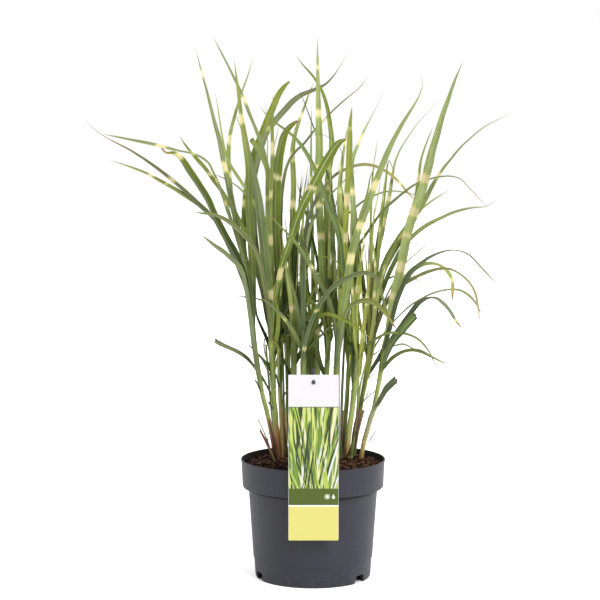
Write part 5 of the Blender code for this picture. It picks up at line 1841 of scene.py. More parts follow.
STRANDS: dict[str, tuple[Strand, ...]] = {
    "thin_leaves_upper_left": (
        Strand("left_outer", 6.5, 150, Tone.DEEP, Tone.FRESH, ((251.5, 315), (248.5, 285), (244.5, 260),
            (240, 243), (237, 228), (234.5, 214), (231.8, 202), (230.3, 188), (229.2, 174),
            (228.5, 160), (228.6, 148), (230.6, 132), (235.5, 113), (241.5, 93), (248, 75), (253, 58)),
            ((134, 145), (172, 180), (198, 208))),
        Strand("left_main", 5.5, 40, Tone.LEAF, Tone.FRESH, ((266, 240), (262, 224), (258, 212),
            (253, 201), (247, 190.5), (240, 180), (231, 166), (228, 160), (224.5, 149), (222.5, 138),
            (219.5, 119), (218, 109), (215, 91)), (), 30.0),
        Strand("left_main", 7.5, 60, Tone.SLATE, Tone.GLAUCOUS, ((281, 280), (275, 258), (270, 240),
            (262, 215), (256, 205), (246, 195), (240, 188.5), (230, 181.5), (220, 176.5), (212, 173.5)),
            (), 40.0),
        Strand("left_inner", 3.2, 60, Tone.LEAF, Tone.FRESH, ((246, 150), (240.5, 127), (236.5, 117),
            (231, 101))),
        Strand("left_inner", 2.2, 90, Tone.LEAF, Tone.FRESH, ((267.5, 160), (267.5, 140), (266.5, 113),
            (264.5, 96))),
        Strand("left_inner", 3.6, 20, Tone.LEAF, Tone.STRAW, ((272, 160), (274.5, 145), (276.5, 137),
            (280, 122)), (), 20.0, True, 0.3),
        Strand("left_inner", 8.5, 30, Tone.SLATE, Tone.FRESH, ((268, 250), (268, 215), (268, 190),
            (267, 168), (263, 158), (258, 149), (251, 139)), ((196, 203),), blunt=True),
        Strand("left_main", 6.5, 20, Tone.SHADE, Tone.DEEP, ((272, 380), (270, 371), (265, 362),
            (258, 354), (250, 346), (245, 341)), (), 50.0, True, 0.0, 0.012),
        Strand("left_main", 6.0, 40, Tone.SHADE, Tone.DEEP, ((268, 330), (265, 307), (262, 293),
            (258, 278), (254, 262), (252, 243)), (), 30.0),
        Strand("left_main", 5.5, 60, Tone.SHADE, Tone.DEEP, ((271, 356), (268, 342), (262, 328),
            (257, 316), (256, 300)), (), 30.0),),
    "thin_leaves_middle": (
        Strand("mid_right", 9.0, 140, Tone.LEAF, Tone.BRIGHT, ((328.5, 325), (327.5, 290), (327.5, 260),
            (327.3, 230), (327, 205), (327.5, 185), (329.2, 168), (331.5, 152), (331.5, 138),
            (330, 125), (328.3, 113), (325.5, 101), (321, 89), (312, 75), (304, 66), (295.5, 55.5)),
            ((165, 173), (180, 190))),
        Strand("mid_back", 5.5, 165, Tone.LEAF, Tone.FRESH, ((312.7, 325), (313, 290), (312.8, 255),
            (312.2, 228), (311.6, 203), (311.2, 180), (311, 160), (311.1, 140), (311.3, 122),
            (311.5, 106)), ((175, 183), (232, 240))),
        Strand("right_front", 9.5, 60, Tone.LIME, Tone.FRESH, ((338.5, 338), (341, 300), (340.5, 270),
            (340.5, 245), (340.5, 222), (339.7, 200), (340.3, 180), (341.7, 166), (343.5, 152),
            (345.5, 140), (347, 131), (349, 124)), ((139, 145), (165, 172), (187, 195))),
        Strand("right_front", 8.0, 60, Tone.SHADE, Tone.LEAF, ((339, 330), (342, 300), (342.5, 270),
            (341, 250), (338.5, 234), (334.5, 220), (329, 206.5), (324, 194), (319.5, 181.5),
            (314.7, 169.5), (309.5, 158.5), (303.5, 148.5), (297, 140), (286.5, 130.5), (278, 124.5),
            (268, 116.5), (259.5, 105.5))),
        Strand("mid_right", 3.4, 100, Tone.SHADE, Tone.DEEP, ((342, 240), (337, 220), (333, 200),
            (329, 180), (325, 165), (320.5, 150), (314.5, 130), (310.5, 119), (303, 99), (297, 85)),
            ((128, 132),)),
        Strand("mid_right", 2.0, 40, Tone.DRY_GREY, Tone.DRY_GREY, ((330, 138), (320, 134), (311, 136),
            (300, 141.5)), (), -70.0),
        Strand("mid_right", 2.0, 60, Tone.FRESH, Tone.FRESH, ((332, 125), (333, 113))),
        Strand("mid_front", 5.2, 70, Tone.DEEP, Tone.GLAUCOUS, ((305, 255), (308, 237), (312, 222),
            (318, 212), (325, 200), (335, 190), (345, 180), (352, 174), (357.5, 170))),
        Strand("mid_left", 5.0, 30, Tone.LEAF, Tone.LEAF, ((297, 330), (300, 300), (301, 275),
            (301, 258), (301.5, 240), (303, 220), (306, 198), (308, 176)), ((255, 265), (275, 282))),
        Strand("mid_left", 6.0, -20, Tone.FRESH, Tone.FRESH, ((293, 360), (293, 345), (292.5, 325),
            (291, 305), (288, 280), (284.5, 255), (281, 228)), ((305, 312), (340, 350))),
        Strand("mid_right", 3.2, -90, Tone.BRIGHT, Tone.LIME, ((343, 300), (341, 270), (338, 263),
            (332, 258), (325, 257), (312, 255.5), (308, 262)), (), -70.0),
        Strand("mid_right", 1.8, -40, Tone.LEAF, Tone.FRESH, ((332, 300), (337, 289), (345, 286),
            (352, 287), (358, 289), (365, 294), (372, 299)), (), -70.0),
        Strand("mid_front", 7.5, -110, Tone.LEAF, Tone.BRIGHT, ((308, 352), (311, 335), (314, 323),
            (320, 316), (328, 314), (335, 316), (345, 320), (355, 326), (362, 331), (369, 337),
            (372, 339)), (), -70.0),),
    "thin_leaves_right": (
        Strand("right_shoot", 6.5, 100, Tone.LEAF, Tone.FRESH, ((384, 348), (391, 320), (397, 295),
            (402, 272), (406, 252), (409, 237), (412, 222), (415, 205), (417, 190), (419, 174),
            (421, 160), (424.3, 149), (427.3, 141), (430.5, 133), (434, 125.3)), ((172, 184),)),
        Strand("right_main", 6.0, 60, Tone.DEEP, Tone.BRIGHT, ((357, 250), (359, 220), (364, 205),
            (368, 190), (371, 175), (378, 163))),
        Strand("right_main", 9.0, 10, Tone.SHADE, Tone.DEEP, ((354.5, 392), (353.5, 370), (352, 355),
            (350, 343)), (), 20.0, True, 0.0, 0.02, 0.0, True),
        Strand("right_inner", 5.0, 30, Tone.FRESH, Tone.FRESH, ((369, 365), (371, 350), (374, 340),
            (374, 320), (374, 300), (375, 285), (375, 265), (374, 250), (371, 235), (368, 221)),
            ((261, 268), (290, 300), (322, 332))),
        Strand("right_main", 3.4, 20, Tone.LIME, Tone.LIME, ((357, 310), (360, 290), (361, 270),
            (362, 255), (363, 245), (365, 222)), ((266, 273),)),
        Strand("right_inner", 5.4, 60, Tone.LEAF, Tone.FRESH, ((378, 258), (379, 245), (380, 230),
            (381, 215), (383, 200), (384, 190), (386, 175), (387, 160)), ((197, 203), (227, 233))),
        Strand("right_inner", 4.6, 90, Tone.LEAF, Tone.FRESH, ((372, 185), (373, 172), (374, 163),
            (376, 150), (377, 138)), ((160, 166),)),
        Strand("right_inner", 3.6, 40, Tone.PALE, Tone.PALE, ((373, 228), (374, 215), (376, 205),
            (379, 190), (381, 175)), ((198, 208),)),
        Strand("right_inner", 5.0, 70, Tone.DEEP, Tone.BRIGHT, ((385, 190), (386.5, 175), (387.5, 165),
            (389, 160), (391.5, 165), (394, 174)), (), 0.0),
        Strand("right_inner", 3.6, 130, Tone.UMBER, Tone.UMBER, ((392, 285), (402, 266), (410, 259),
            (420, 250), (430, 242), (443, 232)), (), -45.0),
        Strand("right_inner", 6.0, 120, Tone.LEAF, Tone.FRESH, ((382, 268), (388, 254), (396, 241),
            (404, 229), (412, 219), (418, 212), (425, 206), (433, 200), (441, 195), (449, 190))),
        Strand("right_inner", 4.0, 70, Tone.LEAF, Tone.GLAUCOUS, ((380, 285), (392, 277), (400, 275),
            (408, 276), (414, 278), (420, 283), (425, 290), (429, 295)), (), -45.0),
        Strand("right_shoot", 4.0, 60, Tone.LEAF, Tone.MIST, ((384, 352), (390, 348), (397, 345),
            (403, 344), (410, 347), (416, 350), (423, 357)), (), -70.0, True, 0.0, 0.010),
        Strand("right_inner", 3.4, 20, Tone.LEAF, Tone.LEAF, ((368, 360), (372, 356), (379, 351),
            (384, 348)), (), -60.0, True, 0.0, 0.010),
        Strand("right_main", 6.0, -40, Tone.LEAF, Tone.GLAUCOUS, ((356.5, 366), (358, 360), (364, 350),
            (370, 343), (378, 337.5), (385, 334), (393, 332.5), (402, 333), (410, 335), (418, 339),
            (425, 346), (430, 353), (433, 360), (438, 366), (444, 369)), (), -75.0),
        Strand("right_shoot", 8.0, -50, Tone.LEAF, Tone.GLAUCOUS, ((379, 378), (386, 365), (390, 360),
            (398, 354), (405, 351), (412, 350), (420, 351), (430, 356), (440, 361), (450, 366)), (),
            -75.0, True, 0.0, 0.012),
        Strand("right_inner", 2.4, 60, Tone.SHADE, Tone.DEEP, ((364, 388), (367, 380), (374, 373),
            (380, 366)), (), -40.0, True, 0.0, 0.010),
        Strand("right_shoot", 3.0, 40, Tone.DRY_DARK, Tone.DRY_PINK, ((383, 352), (388, 342),
            (393, 337), (397, 333)), (), -40.0, True, 0.8, 0.010),
        Strand("right_thin", 6.4, -20, Tone.FRESH, Tone.LIME, ((351, 380), (352, 350), (354, 320),
            (357, 290), (361, 262), (366, 236)), ((250, 262), (285, 292), (318, 326)), 10.0),
        Strand("right_main", 6.0, -30, Tone.LIME, Tone.PALE, ((359, 385), (361, 355), (364, 325),
            (367, 300), (369, 275), (370, 250)), ((262, 270), (296, 306), (335, 341)), 10.0),
        Strand("right_inner", 5.4, -20, Tone.FRESH, Tone.PALE, ((366, 380), (369, 352), (373, 325),
            (377, 300), (383, 275), (390, 255)), ((268, 276), (300, 310)), 10.0),),
    "young_stems": (
        stem("left_main", 4.4, 6, Tone.STRAW, Tone.FRESH, ((283, 462), (279.8, 404), (278.5, 372),
            (278, 345))),
        stem("left_inner", 3.4, 12, Tone.LEAF, Tone.BRIGHT, ((285, 460), (283.6, 393), (283, 360),
            (282, 335))),
        stem("left_behind", 4.8, 2, Tone.LEAF, Tone.LEAF, ((290, 458), (287.6, 404), (286.5, 370),
            (285, 340))),
        stem("left_main", 3.4, 30, Tone.LEAF, Tone.FRESH, ((277, 458), (271.5, 410), (268, 372),
            (266, 345))),
        stem("right_thin", 3.6, 4, Tone.LEAF, Tone.LIME, ((345.5, 462), (345.8, 425), (348, 400),
            (348.8, 378), (350, 352))),
        stem("right_main", 3.2, 16, Tone.DEEP, Tone.FRESH, ((350.5, 458), (357.5, 407), (358.5, 382),
            (359.5, 350))),
        stem("right_main", 2.8, 22, Tone.LEAF, Tone.LIME, ((352, 458), (357.8, 407), (361, 382),
            (367, 358), (370, 340))),
        stem("right_inner", 3.4, 14, Tone.LEAF, Tone.LIME, ((354.5, 458), (361.5, 409), (365, 388),
            (371.5, 360), (375, 340))),
        stem("mid_right", 3.0, -20, Tone.LEAF, Tone.LIME, ((339.5, 462), (339, 395), (339.5, 360),
            (341, 330))),
        stem("mid_right", 4.0, 30, Tone.SHADE, Tone.DEEP, ((341, 458), (342, 395), (343.5, 360),
            (345, 330))),
        stem("mid_left", 4.4, 30, Tone.LEAF, Tone.FRESH, ((295, 458), (294, 395), (293, 360),
            (292, 335))),
        stem("mid_back", 4.4, 60, Tone.DEEP, Tone.LEAF, ((312, 458), (310, 395), (308, 360),
            (305, 335))),
        stem("mid_back", 4.0, 50, Tone.DEEP, Tone.LEAF, ((322, 458), (324, 395), (326, 360),
            (328, 335))),),
    "dry_scraps": (
        scrap("left_outer", 4.2, -42, Tone.DRY_DARK, Tone.DRY_PINK, ((277, 458), (273.5, 440),
            (271, 430), (268.4, 419))),
        scrap("left_main", 4.8, -44, Tone.DRY_ORANGE, Tone.DRY_ORANGE, ((282, 462), (280, 445),
            (278.4, 434), (277, 423.5))),
        scrap("left_main", 3.4, -40, Tone.DRY_DARK, Tone.DRY_PINK, ((287, 458), (285.4, 434),
            (283.6, 420), (281, 407.5))),
        scrap("left_inner", 2.0, -20, Tone.DRY_DARK, Tone.DRY_DARK, ((288.5, 446), (288, 435),
            (287.6, 422), (286.6, 411))),
        scrap("left_outer", 4.2, -46, Tone.DRY_TAN, Tone.DRY_PINK, ((275, 463), (268, 446), (264, 438),
            (259.5, 429.5))),
        scrap("left_outer", 2.2, -44, Tone.STRAW, Tone.LEAF, ((274, 460), (266, 438), (262, 428),
            (257.5, 418.5))),
        scrap("left_outer", 1.1, -34, Tone.DRY_DARK, Tone.DRY_GREY, ((272.5, 448), (270, 446),
            (268, 441), (268.5, 431))),
        scrap("left_outer", 3.0, -30, Tone.SLATE, Tone.DRY_DARK, ((260.5, 391), (258.5, 386.5),
            (256, 382), (254, 379.5))),
        scrap("left_outer", 1.6, -24, Tone.SLATE, Tone.DRY_DARK, ((261.5, 392), (258.5, 388),
            (257.5, 384), (256.5, 381))),
        scrap("left_main", 3.0, -30, Tone.SLATE, Tone.SLATE, ((273, 409), (271, 406), (269, 403),
            (268, 401))),
        scrap("left_main", 3.4, -44, Tone.DEEP, Tone.SHADE, ((280, 390), (278.6, 385), (276.6, 378),
            (275.5, 373))),
        scrap("left_inner", 2.6, -10, Tone.SHADE, Tone.SHADE, ((282.5, 402), (284, 395), (287.5, 389),
            (289, 386))),
        scrap("left_main", 1.6, 0, Tone.SHADE, Tone.DEEP, ((272, 379), (268, 372), (264, 364),
            (261, 358))),
        scrap("right_thin", 3.4, -46, Tone.DRY_DARK, Tone.DRY_PINK, ((340.4, 464), (341.4, 438),
            (342.6, 422), (343, 410))),
        scrap("right_inner", 6.0, -36, Tone.DRY_GREY, Tone.DRY_TAN, ((352, 458), (356.6, 434),
            (360, 421), (363.6, 409))),
        scrap("right_inner", 3.0, -30, Tone.DRY_DARK, Tone.DRY_PINK, ((350, 458), (353.5, 430),
            (356.5, 416), (358.5, 407))),
        scrap("right_inner", 1.6, -40, Tone.DRY_TAN, Tone.DRY_PINK, ((352, 440), (355, 430), (358, 421),
            (362, 412))),
        scrap("right_main", 3.2, -48, Tone.DRY_DARK, Tone.DRY_ORANGE, ((344, 464), (347, 456),
            (350, 449), (351.5, 443))),
        scrap("right_thin", 1.1, -50, Tone.DRY_DARK, Tone.DRY_ORANGE, ((343.5, 437), (345.5, 434.5),
            (348, 431.5))),
        scrap("right_shoot", 1.7, -44, Tone.DRY_DARK, Tone.DRY_ORANGE, ((368.5, 443), (371, 438),
            (374, 433.5), (376.8, 429.5))),
        scrap("right_inner", 2.0, -50, Tone.SHADE, Tone.SLATE, ((357, 408), (362, 402.5), (368, 396.5),
            (375, 391))),
        scrap("right_inner", 1.2, -30, Tone.DRY_GREY, Tone.DRY_GREY, ((365.5, 398), (367, 394),
            (368.5, 390.5), (369.5, 388))),
        scrap("right_inner", 1.0, -26, Tone.DRY_GREY, Tone.DRY_GREY, ((366, 397), (368.5, 393.5),
            (370.5, 391.5), (372, 389))),
        scrap("left_main", 1.4, 60, Tone.DRY_DARK, Tone.DRY_GREY, ((250, 301), (247.5, 299),
            (244.5, 297.5), (241, 297))),),
}

SLOTS: dict[str, str] = {"young_stems": "culm", "dry_scraps": "dry_sheath"}


@dataclass(frozen=True)
class Filler:
    """A seeded group of leaves that fills the clump: how many, from where, how they stand."""

    name: str
    seed: int
    count: int
    start: tuple[float, float]
    rise: tuple[float, float]
    drift: float
    droop: float
    width: tuple[float, float]
    depth: tuple[float, float]
    low: tuple[Tone, ...]
    high: tuple[Tone, ...]
    bands: float
    MIDDLE: ClassVar[float] = 305.0
    SPREAD: ClassVar[float] = 0.008
    BOW: ClassVar[float] = 0.22
    TURN: ClassVar[float] = 60.0
    STEPS: ClassVar[int] = 8
    BELOW_TOP: ClassVar[tuple[float, float]] = (2.0, 20.0)
    DRIFTS_BY: ClassVar[float] = 1.4
    SHEATH: ClassVar[float] = 0.018
    culms: tuple[str, ...] = (
        "left_main", "left_inner", "left_behind", "mid_left", "mid_front", "mid_back",
        "mid_right", "right_front", "right_thin", "right_main", "right_inner")

    def strand(self, index: int, culms: dict[str, Culm], chooser: random.Random) -> Strand:
        """Return one leaf of the group.

        Args:
            index: Which leaf, from 0.
            culms: The culms by name.
            chooser: The seeded source of chance.

        Returns:
            The leaf.
        """
        key = self.culms[index % len(self.culms)]
        culm = culms["culm_" + key]
        top = SIGHT.picture(culm.axis[-1][None])[0]
        row = max(chooser.uniform(*self.start), top[1] + chooser.uniform(*self.BELOW_TOP))
        start = SIGHT.picture(culm.at_height(culm.height_of_row(row))[0][None])[0]
        rise = chooser.uniform(*self.rise)
        drift = chooser.gauss(0.0, self.drift)
        drift += (self.MIDDLE - start[0]) * self.drift * self.SPREAD
        bow = chooser.gauss(0.0, self.drift * self.BOW)
        droop = chooser.random() * self.droop
        shares = [k / self.STEPS for k in range(self.STEPS + 1)]
        track = tuple((start[0] + drift * t ** self.DRIFTS_BY + bow * math.sin(math.pi * t),
                       row - rise * (t - droop * t ** 3)) for t in shares)
        return Strand(key, chooser.uniform(*self.width), chooser.uniform(*self.depth),
                      chooser.choice(self.low), chooser.choice(self.high), track,
                      turn=chooser.uniform(-self.TURN, self.TURN), sheath=self.SHEATH)


FILLERS: tuple[Filler, ...] = (
    Filler("inner_blades", 4101, 34, (340.0, 372.0), (95.0, 200.0), 14.0, 0.0, (4.5, 7.5),
           (30.0, 110.0), (Tone.SHADE, Tone.DEEP, Tone.LEAF), (Tone.DEEP, Tone.LEAF), 0.45),
    Filler("low_blades", 4207, 50, (318.0, 392.0), (36.0, 125.0), 26.0, 0.5, (3.2, 7.0),
           (-15.0, 90.0), (Tone.SHADE, Tone.DEEP, Tone.LEAF, Tone.FRESH),
           (Tone.LEAF, Tone.FRESH, Tone.BRIGHT, Tone.GLAUCOUS), 0.4,
           ("left_main", "left_inner", "left_behind", "mid_left", "mid_front", "mid_back",
            "mid_right")),
    Filler("bright_blades", 4303, 34, (340.0, 365.0), (80.0, 180.0), 9.0, 0.0, (2.4, 4.8),
           (-30.0, 60.0), (Tone.LIME, Tone.FRESH), (Tone.LIME, Tone.PALE, Tone.FRESH), 0.8,
           ("mid_left", "mid_back", "left_inner", "mid_right", "right_thin", "right_main",
            "right_inner")),
)


@dataclass
class Clump:
    """The whole plant: culms, blades of the frame, thinner leaves and fillers."""

    effects: Effects
    rear_seed: int = 7702
    rear_limit: float = 0.178
    rear_reach: tuple[float, float] = (0.09, 0.18)
    rear_kept: tuple[float, float] = (0.74, 0.94)
    rear_width: float = 0.82
    rear_turn: float = 30.0
    front_tips: float = 0.06
    blade_step: float = 0.0036
    blade_sheath: float = 0.045
    strand_step: float = 0.0045
    scrap_step: float = 0.003
    filler_step: float = 0.007
    filler_rib: float = 0.15
    filler_open: float = 0.3
    rear_step: float = 0.006
    rear_sheath: float = 0.030
    rear_bands: float = 0.7
    least_kept: int = 5

    def __post_init__(self) -> None:
        """Read the culms and build the leaf material."""
        names = [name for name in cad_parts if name.startswith(("culm_", "sheath_"))]
        names.append("shoot_small")
        self.culms = {name: Culm(name) for name in sorted(names)}
        self.material = LeafFinish().material(self.effects)

    def build(self) -> None:
        """Build every part of the plant."""
        self.build_blades()
        for name, strands in STRANDS.items():
            self.build_strands(name, strands)
        for filler in FILLERS:
            self.build_filler(filler)
        self.build_rear()
        for culm in self.culms.values():
            piece = culm.skin(self.material)
            stand_for(piece, culm.dress.slot, culm.name)
        LOG.info("culms and sheaths: %d pieces", len(self.culms))

    def build_blades(self) -> None:
        """Build the finer blades that stand for the frame's own."""
        order = sorted(BLADE_DRESSES, key=lambda name: -Course.of_node(
            "blade_" + name, False).centres[0][2])
        for name in order:
            dress = BLADE_DRESSES[name]
            node = "blade_" + name
            course = Course.of_node(node, dress.blunt)
            leaf = Leaf(course, self.culms["culm_" + dress.culm], node, self.blade_step,
                        dress.shape, dress.open_to_eye, fold=dress.fold)
            bands = band_distance(leaf.course.centres, dress.rows, dress.columns,
                                  dress.spots)
            bed = LeafBed(name + "_leaf")
            bed.add(leaf.rows(dress.low.linear(), dress.high.linear(), bands, dress.rib,
                              dress.tip, self.blade_sheath, change=dress.change))
            stand_for(bed.piece(self.material), "blade", node)
        LOG.info("blades of the frame: %d pieces", len(order))

    def add_strand(self, bed: LeafBed, strand: Strand, chooser: random.Random, seed: str,
                   step: float, rib: float = 0.2, open_to_eye: float = 0.62,
                   banded: float = 0.0) -> None:
        """Add a thinner leaf to a bed.

        Args:
            bed: The bed.
            strand: The leaf's track and colouring.
            chooser: The seeded source of chance.
            seed: Name that its small variations come from.
            step: Distance between its rows.
            rib: Strength of the pale midrib.
            open_to_eye: Least share of the width that the photograph's eye sees.
            banded: How likely each natural place is to carry a pale band by chance.
        """
        course = strand.course(self.culms, chooser)
        leaf = Leaf(course, self.culms["culm_" + strand.culm], seed, step,
                    open_to_eye=open_to_eye, roll=strand.roll)
        centres = leaf.course.centres
        extra: Spans = ()
        if banded > 0.0:
            extra = chance_bands(along(centres)[-1], chooser, banded)
        bands = band_distance(centres, strand.rows, extra=extra)
        sheath = strand.sheath if strand.rooted else 0.0
        bed.add(leaf.rows(strand.low.linear(), strand.high.linear(), bands, rib,
                          strand.tip, sheath, strand.dry))

    def build_strands(self, name: str, strands: tuple[Strand, ...]) -> None:
        """Build one group's thinner leaves as one piece.

        Args:
            name: The piece's name.
            strands: Its leaves.
        """
        bed = LeafBed(name)
        for index, strand in enumerate(strands):
            step = self.scrap_step if strand.dry > 0.0 else self.strand_step
            self.add_strand(bed, strand, random.Random(f"{name} {index}"),
                            f"{name} leaf {index}", step)
        stand_for(bed.piece(self.material), SLOTS.get(name, "blade"))
        LOG.info("%s: %d", name, len(strands))

    def build_filler(self, filler: Filler) -> None:
        """Build one seeded group of leaves as one piece.

        Args:
            filler: The group.
        """
        chooser = random.Random(filler.seed)
        bed = LeafBed(filler.name)
        for index in range(filler.count):
            strand = filler.strand(index, self.culms, chooser)
            self.add_strand(bed, strand, chooser, f"{filler.name} {index}", self.filler_step,
                            self.filler_rib, self.filler_open, filler.bands)
        stand_for(bed.piece(self.material), "blade")
        LOG.info("%s: %d", filler.name, filler.count)

    def build_rear(self) -> None:
        """Build the leaves at the back, which stand behind those that lean to the front."""
        chooser = random.Random(self.rear_seed)
        bed = LeafBed("rear_blades")
        count = 0
        for name, dress in BLADE_DRESSES.items():
            course = Course.of_node("blade_" + name, dress.blunt)
            if dress.blunt or course.centres[-1][1] > self.front_tips:
                continue
            seen = SIGHT.picture(course.centres)
            keep = max(self.least_kept, int(len(seen) * chooser.uniform(*self.rear_kept)))
            track = tuple((float(a), float(d)) for a, d in seen[:keep])
            reach = min(self.rear_limit, chooser.uniform(*self.rear_reach)) * 1000.0
            width = float(course.halves.max()) * 2000.0 * self.rear_width
            strand = Strand(dress.culm, width, reach, dress.low, dress.high, track,
                            turn=chooser.uniform(-self.rear_turn, self.rear_turn),
                            sheath=self.rear_sheath)
            self.add_strand(bed, strand, chooser, "rear " + name, self.rear_step,
                            banded=self.rear_bands)
            count += 1
        stand_for(bed.piece(self.material), "blade")
        LOG.info("rear leaves: %d", count)


@dataclass(frozen=True)
class Pot:
    """The nursery pot: tapered body, collar with a thin lip, foot ring with drain notches."""

    height: float = 0.157
    rim_radius: float = 0.095
    collar_foot_radius: float = 0.0932
    body_top_radius: float = 0.0855
    body_top: float = 0.1205
    base_radius: float = 0.0765
    wall: float = 0.0015
    lip_bead: float = 0.0004
    step_height: float = 0.026
    step_depth: float = 0.0005
    floor_underside: float = 0.0115
    floor_top: float = 0.0135
    foot_wall: float = 0.0028
    pad_radius: float = 0.015
    notch_count: int = 3
    notch_first: float = math.radians(-67.0)
    notch_width: float = 0.022
    notch_height: float = 0.0105
    notch_reach: float = 0.012
    notch_slant: float = 0.72
    notch_rounding: float = 0.0011
    crease: float = 28.0
    sides: int = 144

    def body_radius(self, height: float) -> float:
        """Return the body's outer radius at a height."""
        share = height / self.body_top
        return self.base_radius + (self.body_top_radius - self.base_radius) * share

    def profile(self) -> list[tuple[float, float]]:
        """Draw the wall's outline, up the inside and down the outside.

        Returns:
            The outline as radius and height.
        """
        top, foot, floor = self.height, self.body_top, self.floor_top
        rim, collar, base = self.rim_radius, self.collar_foot_radius, self.base_radius
        bead, step_at = self.lip_bead, self.step_height
        step, dent = self.body_radius(step_at), self.step_depth
        inner, inner_rim = self.body_radius(floor) - self.wall, rim - self.wall
        inner_collar, ledge = collar - self.wall, foot + self.wall
        ring, under, pad = base - self.foot_wall, self.floor_underside, self.pad_radius
        return [
            (0.0, floor), (inner - 0.0030, floor), (inner - 0.0008, floor + 0.0008),
            (inner, floor + 0.0030), (self.body_top_radius - self.wall, ledge),
            (inner_collar - 0.0004, ledge), (inner_collar, ledge + 0.0004),
            (inner_rim, top - 0.0008), (inner_rim + 0.0002, top - 0.0002),
            (inner_rim + 0.0005, top), (rim - 0.0002, top), (rim + bead * 0.7, top - 0.0003),
            (rim + bead, top - 0.0008), (rim + bead, top - 0.0019),
            (rim + bead * 0.6, top - 0.0024), (rim - 0.0001, top - 0.0027),
            (rim - 0.0006, top - 0.0090), (collar + 0.0002, foot + 0.0035),
            (collar, foot + 0.0007), (collar - 0.0002, foot + 0.0002),
            (collar - 0.0007, foot), (self.body_top_radius + 0.0004, foot),
            (self.body_radius(foot - 0.0004), foot - 0.0004),
            (self.body_radius(foot - 0.004), foot - 0.004),
            (step + 0.0001 + dent, step_at + 0.0014), (step + dent, step_at + 0.0004),
            (step - dent * 0.4, step_at - 0.0002), (step - dent, step_at - 0.0009),
            (base + 0.0001, 0.0036), (base - 0.0003, 0.0016), (base - 0.0009, 0.0005),
            (base - 0.0017, 0.0), (ring + 0.0002, 0.0), (ring, 0.0003),
            (ring, under - 0.0008), (ring - 0.0008, under), (pad + 0.0008, under),
            (pad, under - 0.0008), (pad, 0.0004), (pad - 0.0004, 0.0), (0.0, 0.0)]

    def build(self, effects: Effects) -> None:
        """Turn the pot, cut its notches and dress it.

        Args:
            effects: The shared node groups.
        """
        mesh = turned_mesh("pot_body", self.profile(), self.sides)
        pot = new_object("pot_body", mesh, PotFinish().material(effects))
        wedges = [self.notch(index) for index in range(self.notch_count)]
        combine(pot, wedges, "DIFFERENCE", "EXACT")
        smooth_by_angle(pot.data, self.crease)
        stand_for(pot, "pot_plastic", "pot")
        LOG.info("pot: %d faces", len(pot.data.polygons))

    def notch(self, index: int) -> bpy.types.Object:
        """Return a wedge that cuts one drain notch.

        Args:
            index: Which notch, from 0.

        Returns:
            The wedge.
        """
        mesh = bpy.data.meshes.new("notch_wedge")
        bm = bmesh.new()
        bmesh.ops.create_cube(bm, size=1.0)
        for vert in bm.verts:
            share = self.notch_slant if vert.co.z > 0.0 else 1.0
            vert.co.x *= self.notch_width * share
            vert.co.y = vert.co.y * self.notch_reach - self.base_radius
            vert.co.z = self.notch_height if vert.co.z > 0.0 else -0.002
        upper = [edge for edge in bm.edges if all(v.co.z > 0.0 for v in edge.verts)
                 and abs(edge.verts[0].co.y - edge.verts[1].co.y) > 0.001]
        bmesh.ops.bevel(bm, geom=upper, offset=self.notch_rounding, segments=3, affect="EDGES")
        bm.to_mesh(mesh)
        bm.free()
        wedge = bpy.data.objects.new("notch_wedge", mesh)
        bpy.context.scene.collection.objects.link(wedge)
        wedge.rotation_euler = (0.0, 0.0, self.notch_first + index * math.tau / self.notch_count)
        return wedge


def turned_mesh(name: str, profile: list[tuple[float, float]], sides: int,
                centre: tuple[float, float] = (0.0, 0.0)) -> bpy.types.Mesh:
    """Turn an outline about an upright axis into a closed mesh.

    Args:
        name: The mesh's name.
        profile: The outline as radius and height, with both ends on the axis.
        sides: Steps round the axis.
        centre: The axis' place.

    Returns:
        The mesh.
    """
    points: list[tuple[float, float, float]] = []
    rings: list[list[int]] = []
    for radius, height in profile:
        steps = sides if radius > 0.0 else 1
        rings.append([len(points) + k % steps for k in range(sides)])
        for k in range(steps):
            angle = k * math.tau / sides
            points.append((centre[0] + radius * math.cos(angle),
                           centre[1] + radius * math.sin(angle), height))
    faces = []
    for low, high in zip(rings, rings[1:]):
        for k in range(sides):
            after = (k + 1) % sides
            corners = [low[k], low[after], high[after], high[k]]
            corners = [c for i, c in enumerate(corners) if c not in corners[:i]]
            if len(corners) > 2:
                faces.append(tuple(corners))
    return new_mesh(name, points, faces, smooth=False)


def combine(piece: bpy.types.Object, others: list[bpy.types.Object], operation: str,
            solver: str) -> None:
    """Cut or join other bodies with a piece, and remove them.

    Args:
        piece: The piece.
        others: The other bodies.
        operation: Blender's name of the operation.
        solver: Blender's name of the way to solve it.
    """
    for other in others:
        step = piece.modifiers.new("combine", "BOOLEAN")
        step.operation = operation
        step.solver = solver
        step.object = other
    baked = baked_mesh(piece)
    old = piece.data
    piece.modifiers.clear()
    piece.data = baked
    bpy.data.meshes.remove(old)
    for other in others:
        bpy.data.objects.remove(other, do_unlink=True)


def baked_mesh(thing: bpy.types.Object) -> bpy.types.Mesh:
    """Return the mesh that an object's curve or modifiers give.

    Args:
        thing: The object.

    Returns:
        The mesh.
    """
    bpy.context.view_layer.update()
    graph = bpy.context.evaluated_depsgraph_get()
    return bpy.data.meshes.new_from_object(thing.evaluated_get(graph))


def smooth_by_angle(mesh: bpy.types.Mesh, degrees: float) -> None:
    """Shade a mesh smooth, with edges past an angle kept sharp.

    Args:
        mesh: The mesh.
        degrees: The angle.
    """
    bm = bmesh.new()
    bm.from_mesh(mesh)
    limit = math.radians(degrees)
    for face in bm.faces:
        face.smooth = True
    for edge in bm.edges:
        edge.smooth = len(edge.link_faces) == 2 and edge.calc_face_angle(0.0) < limit
    bm.to_mesh(mesh)
    bm.free()


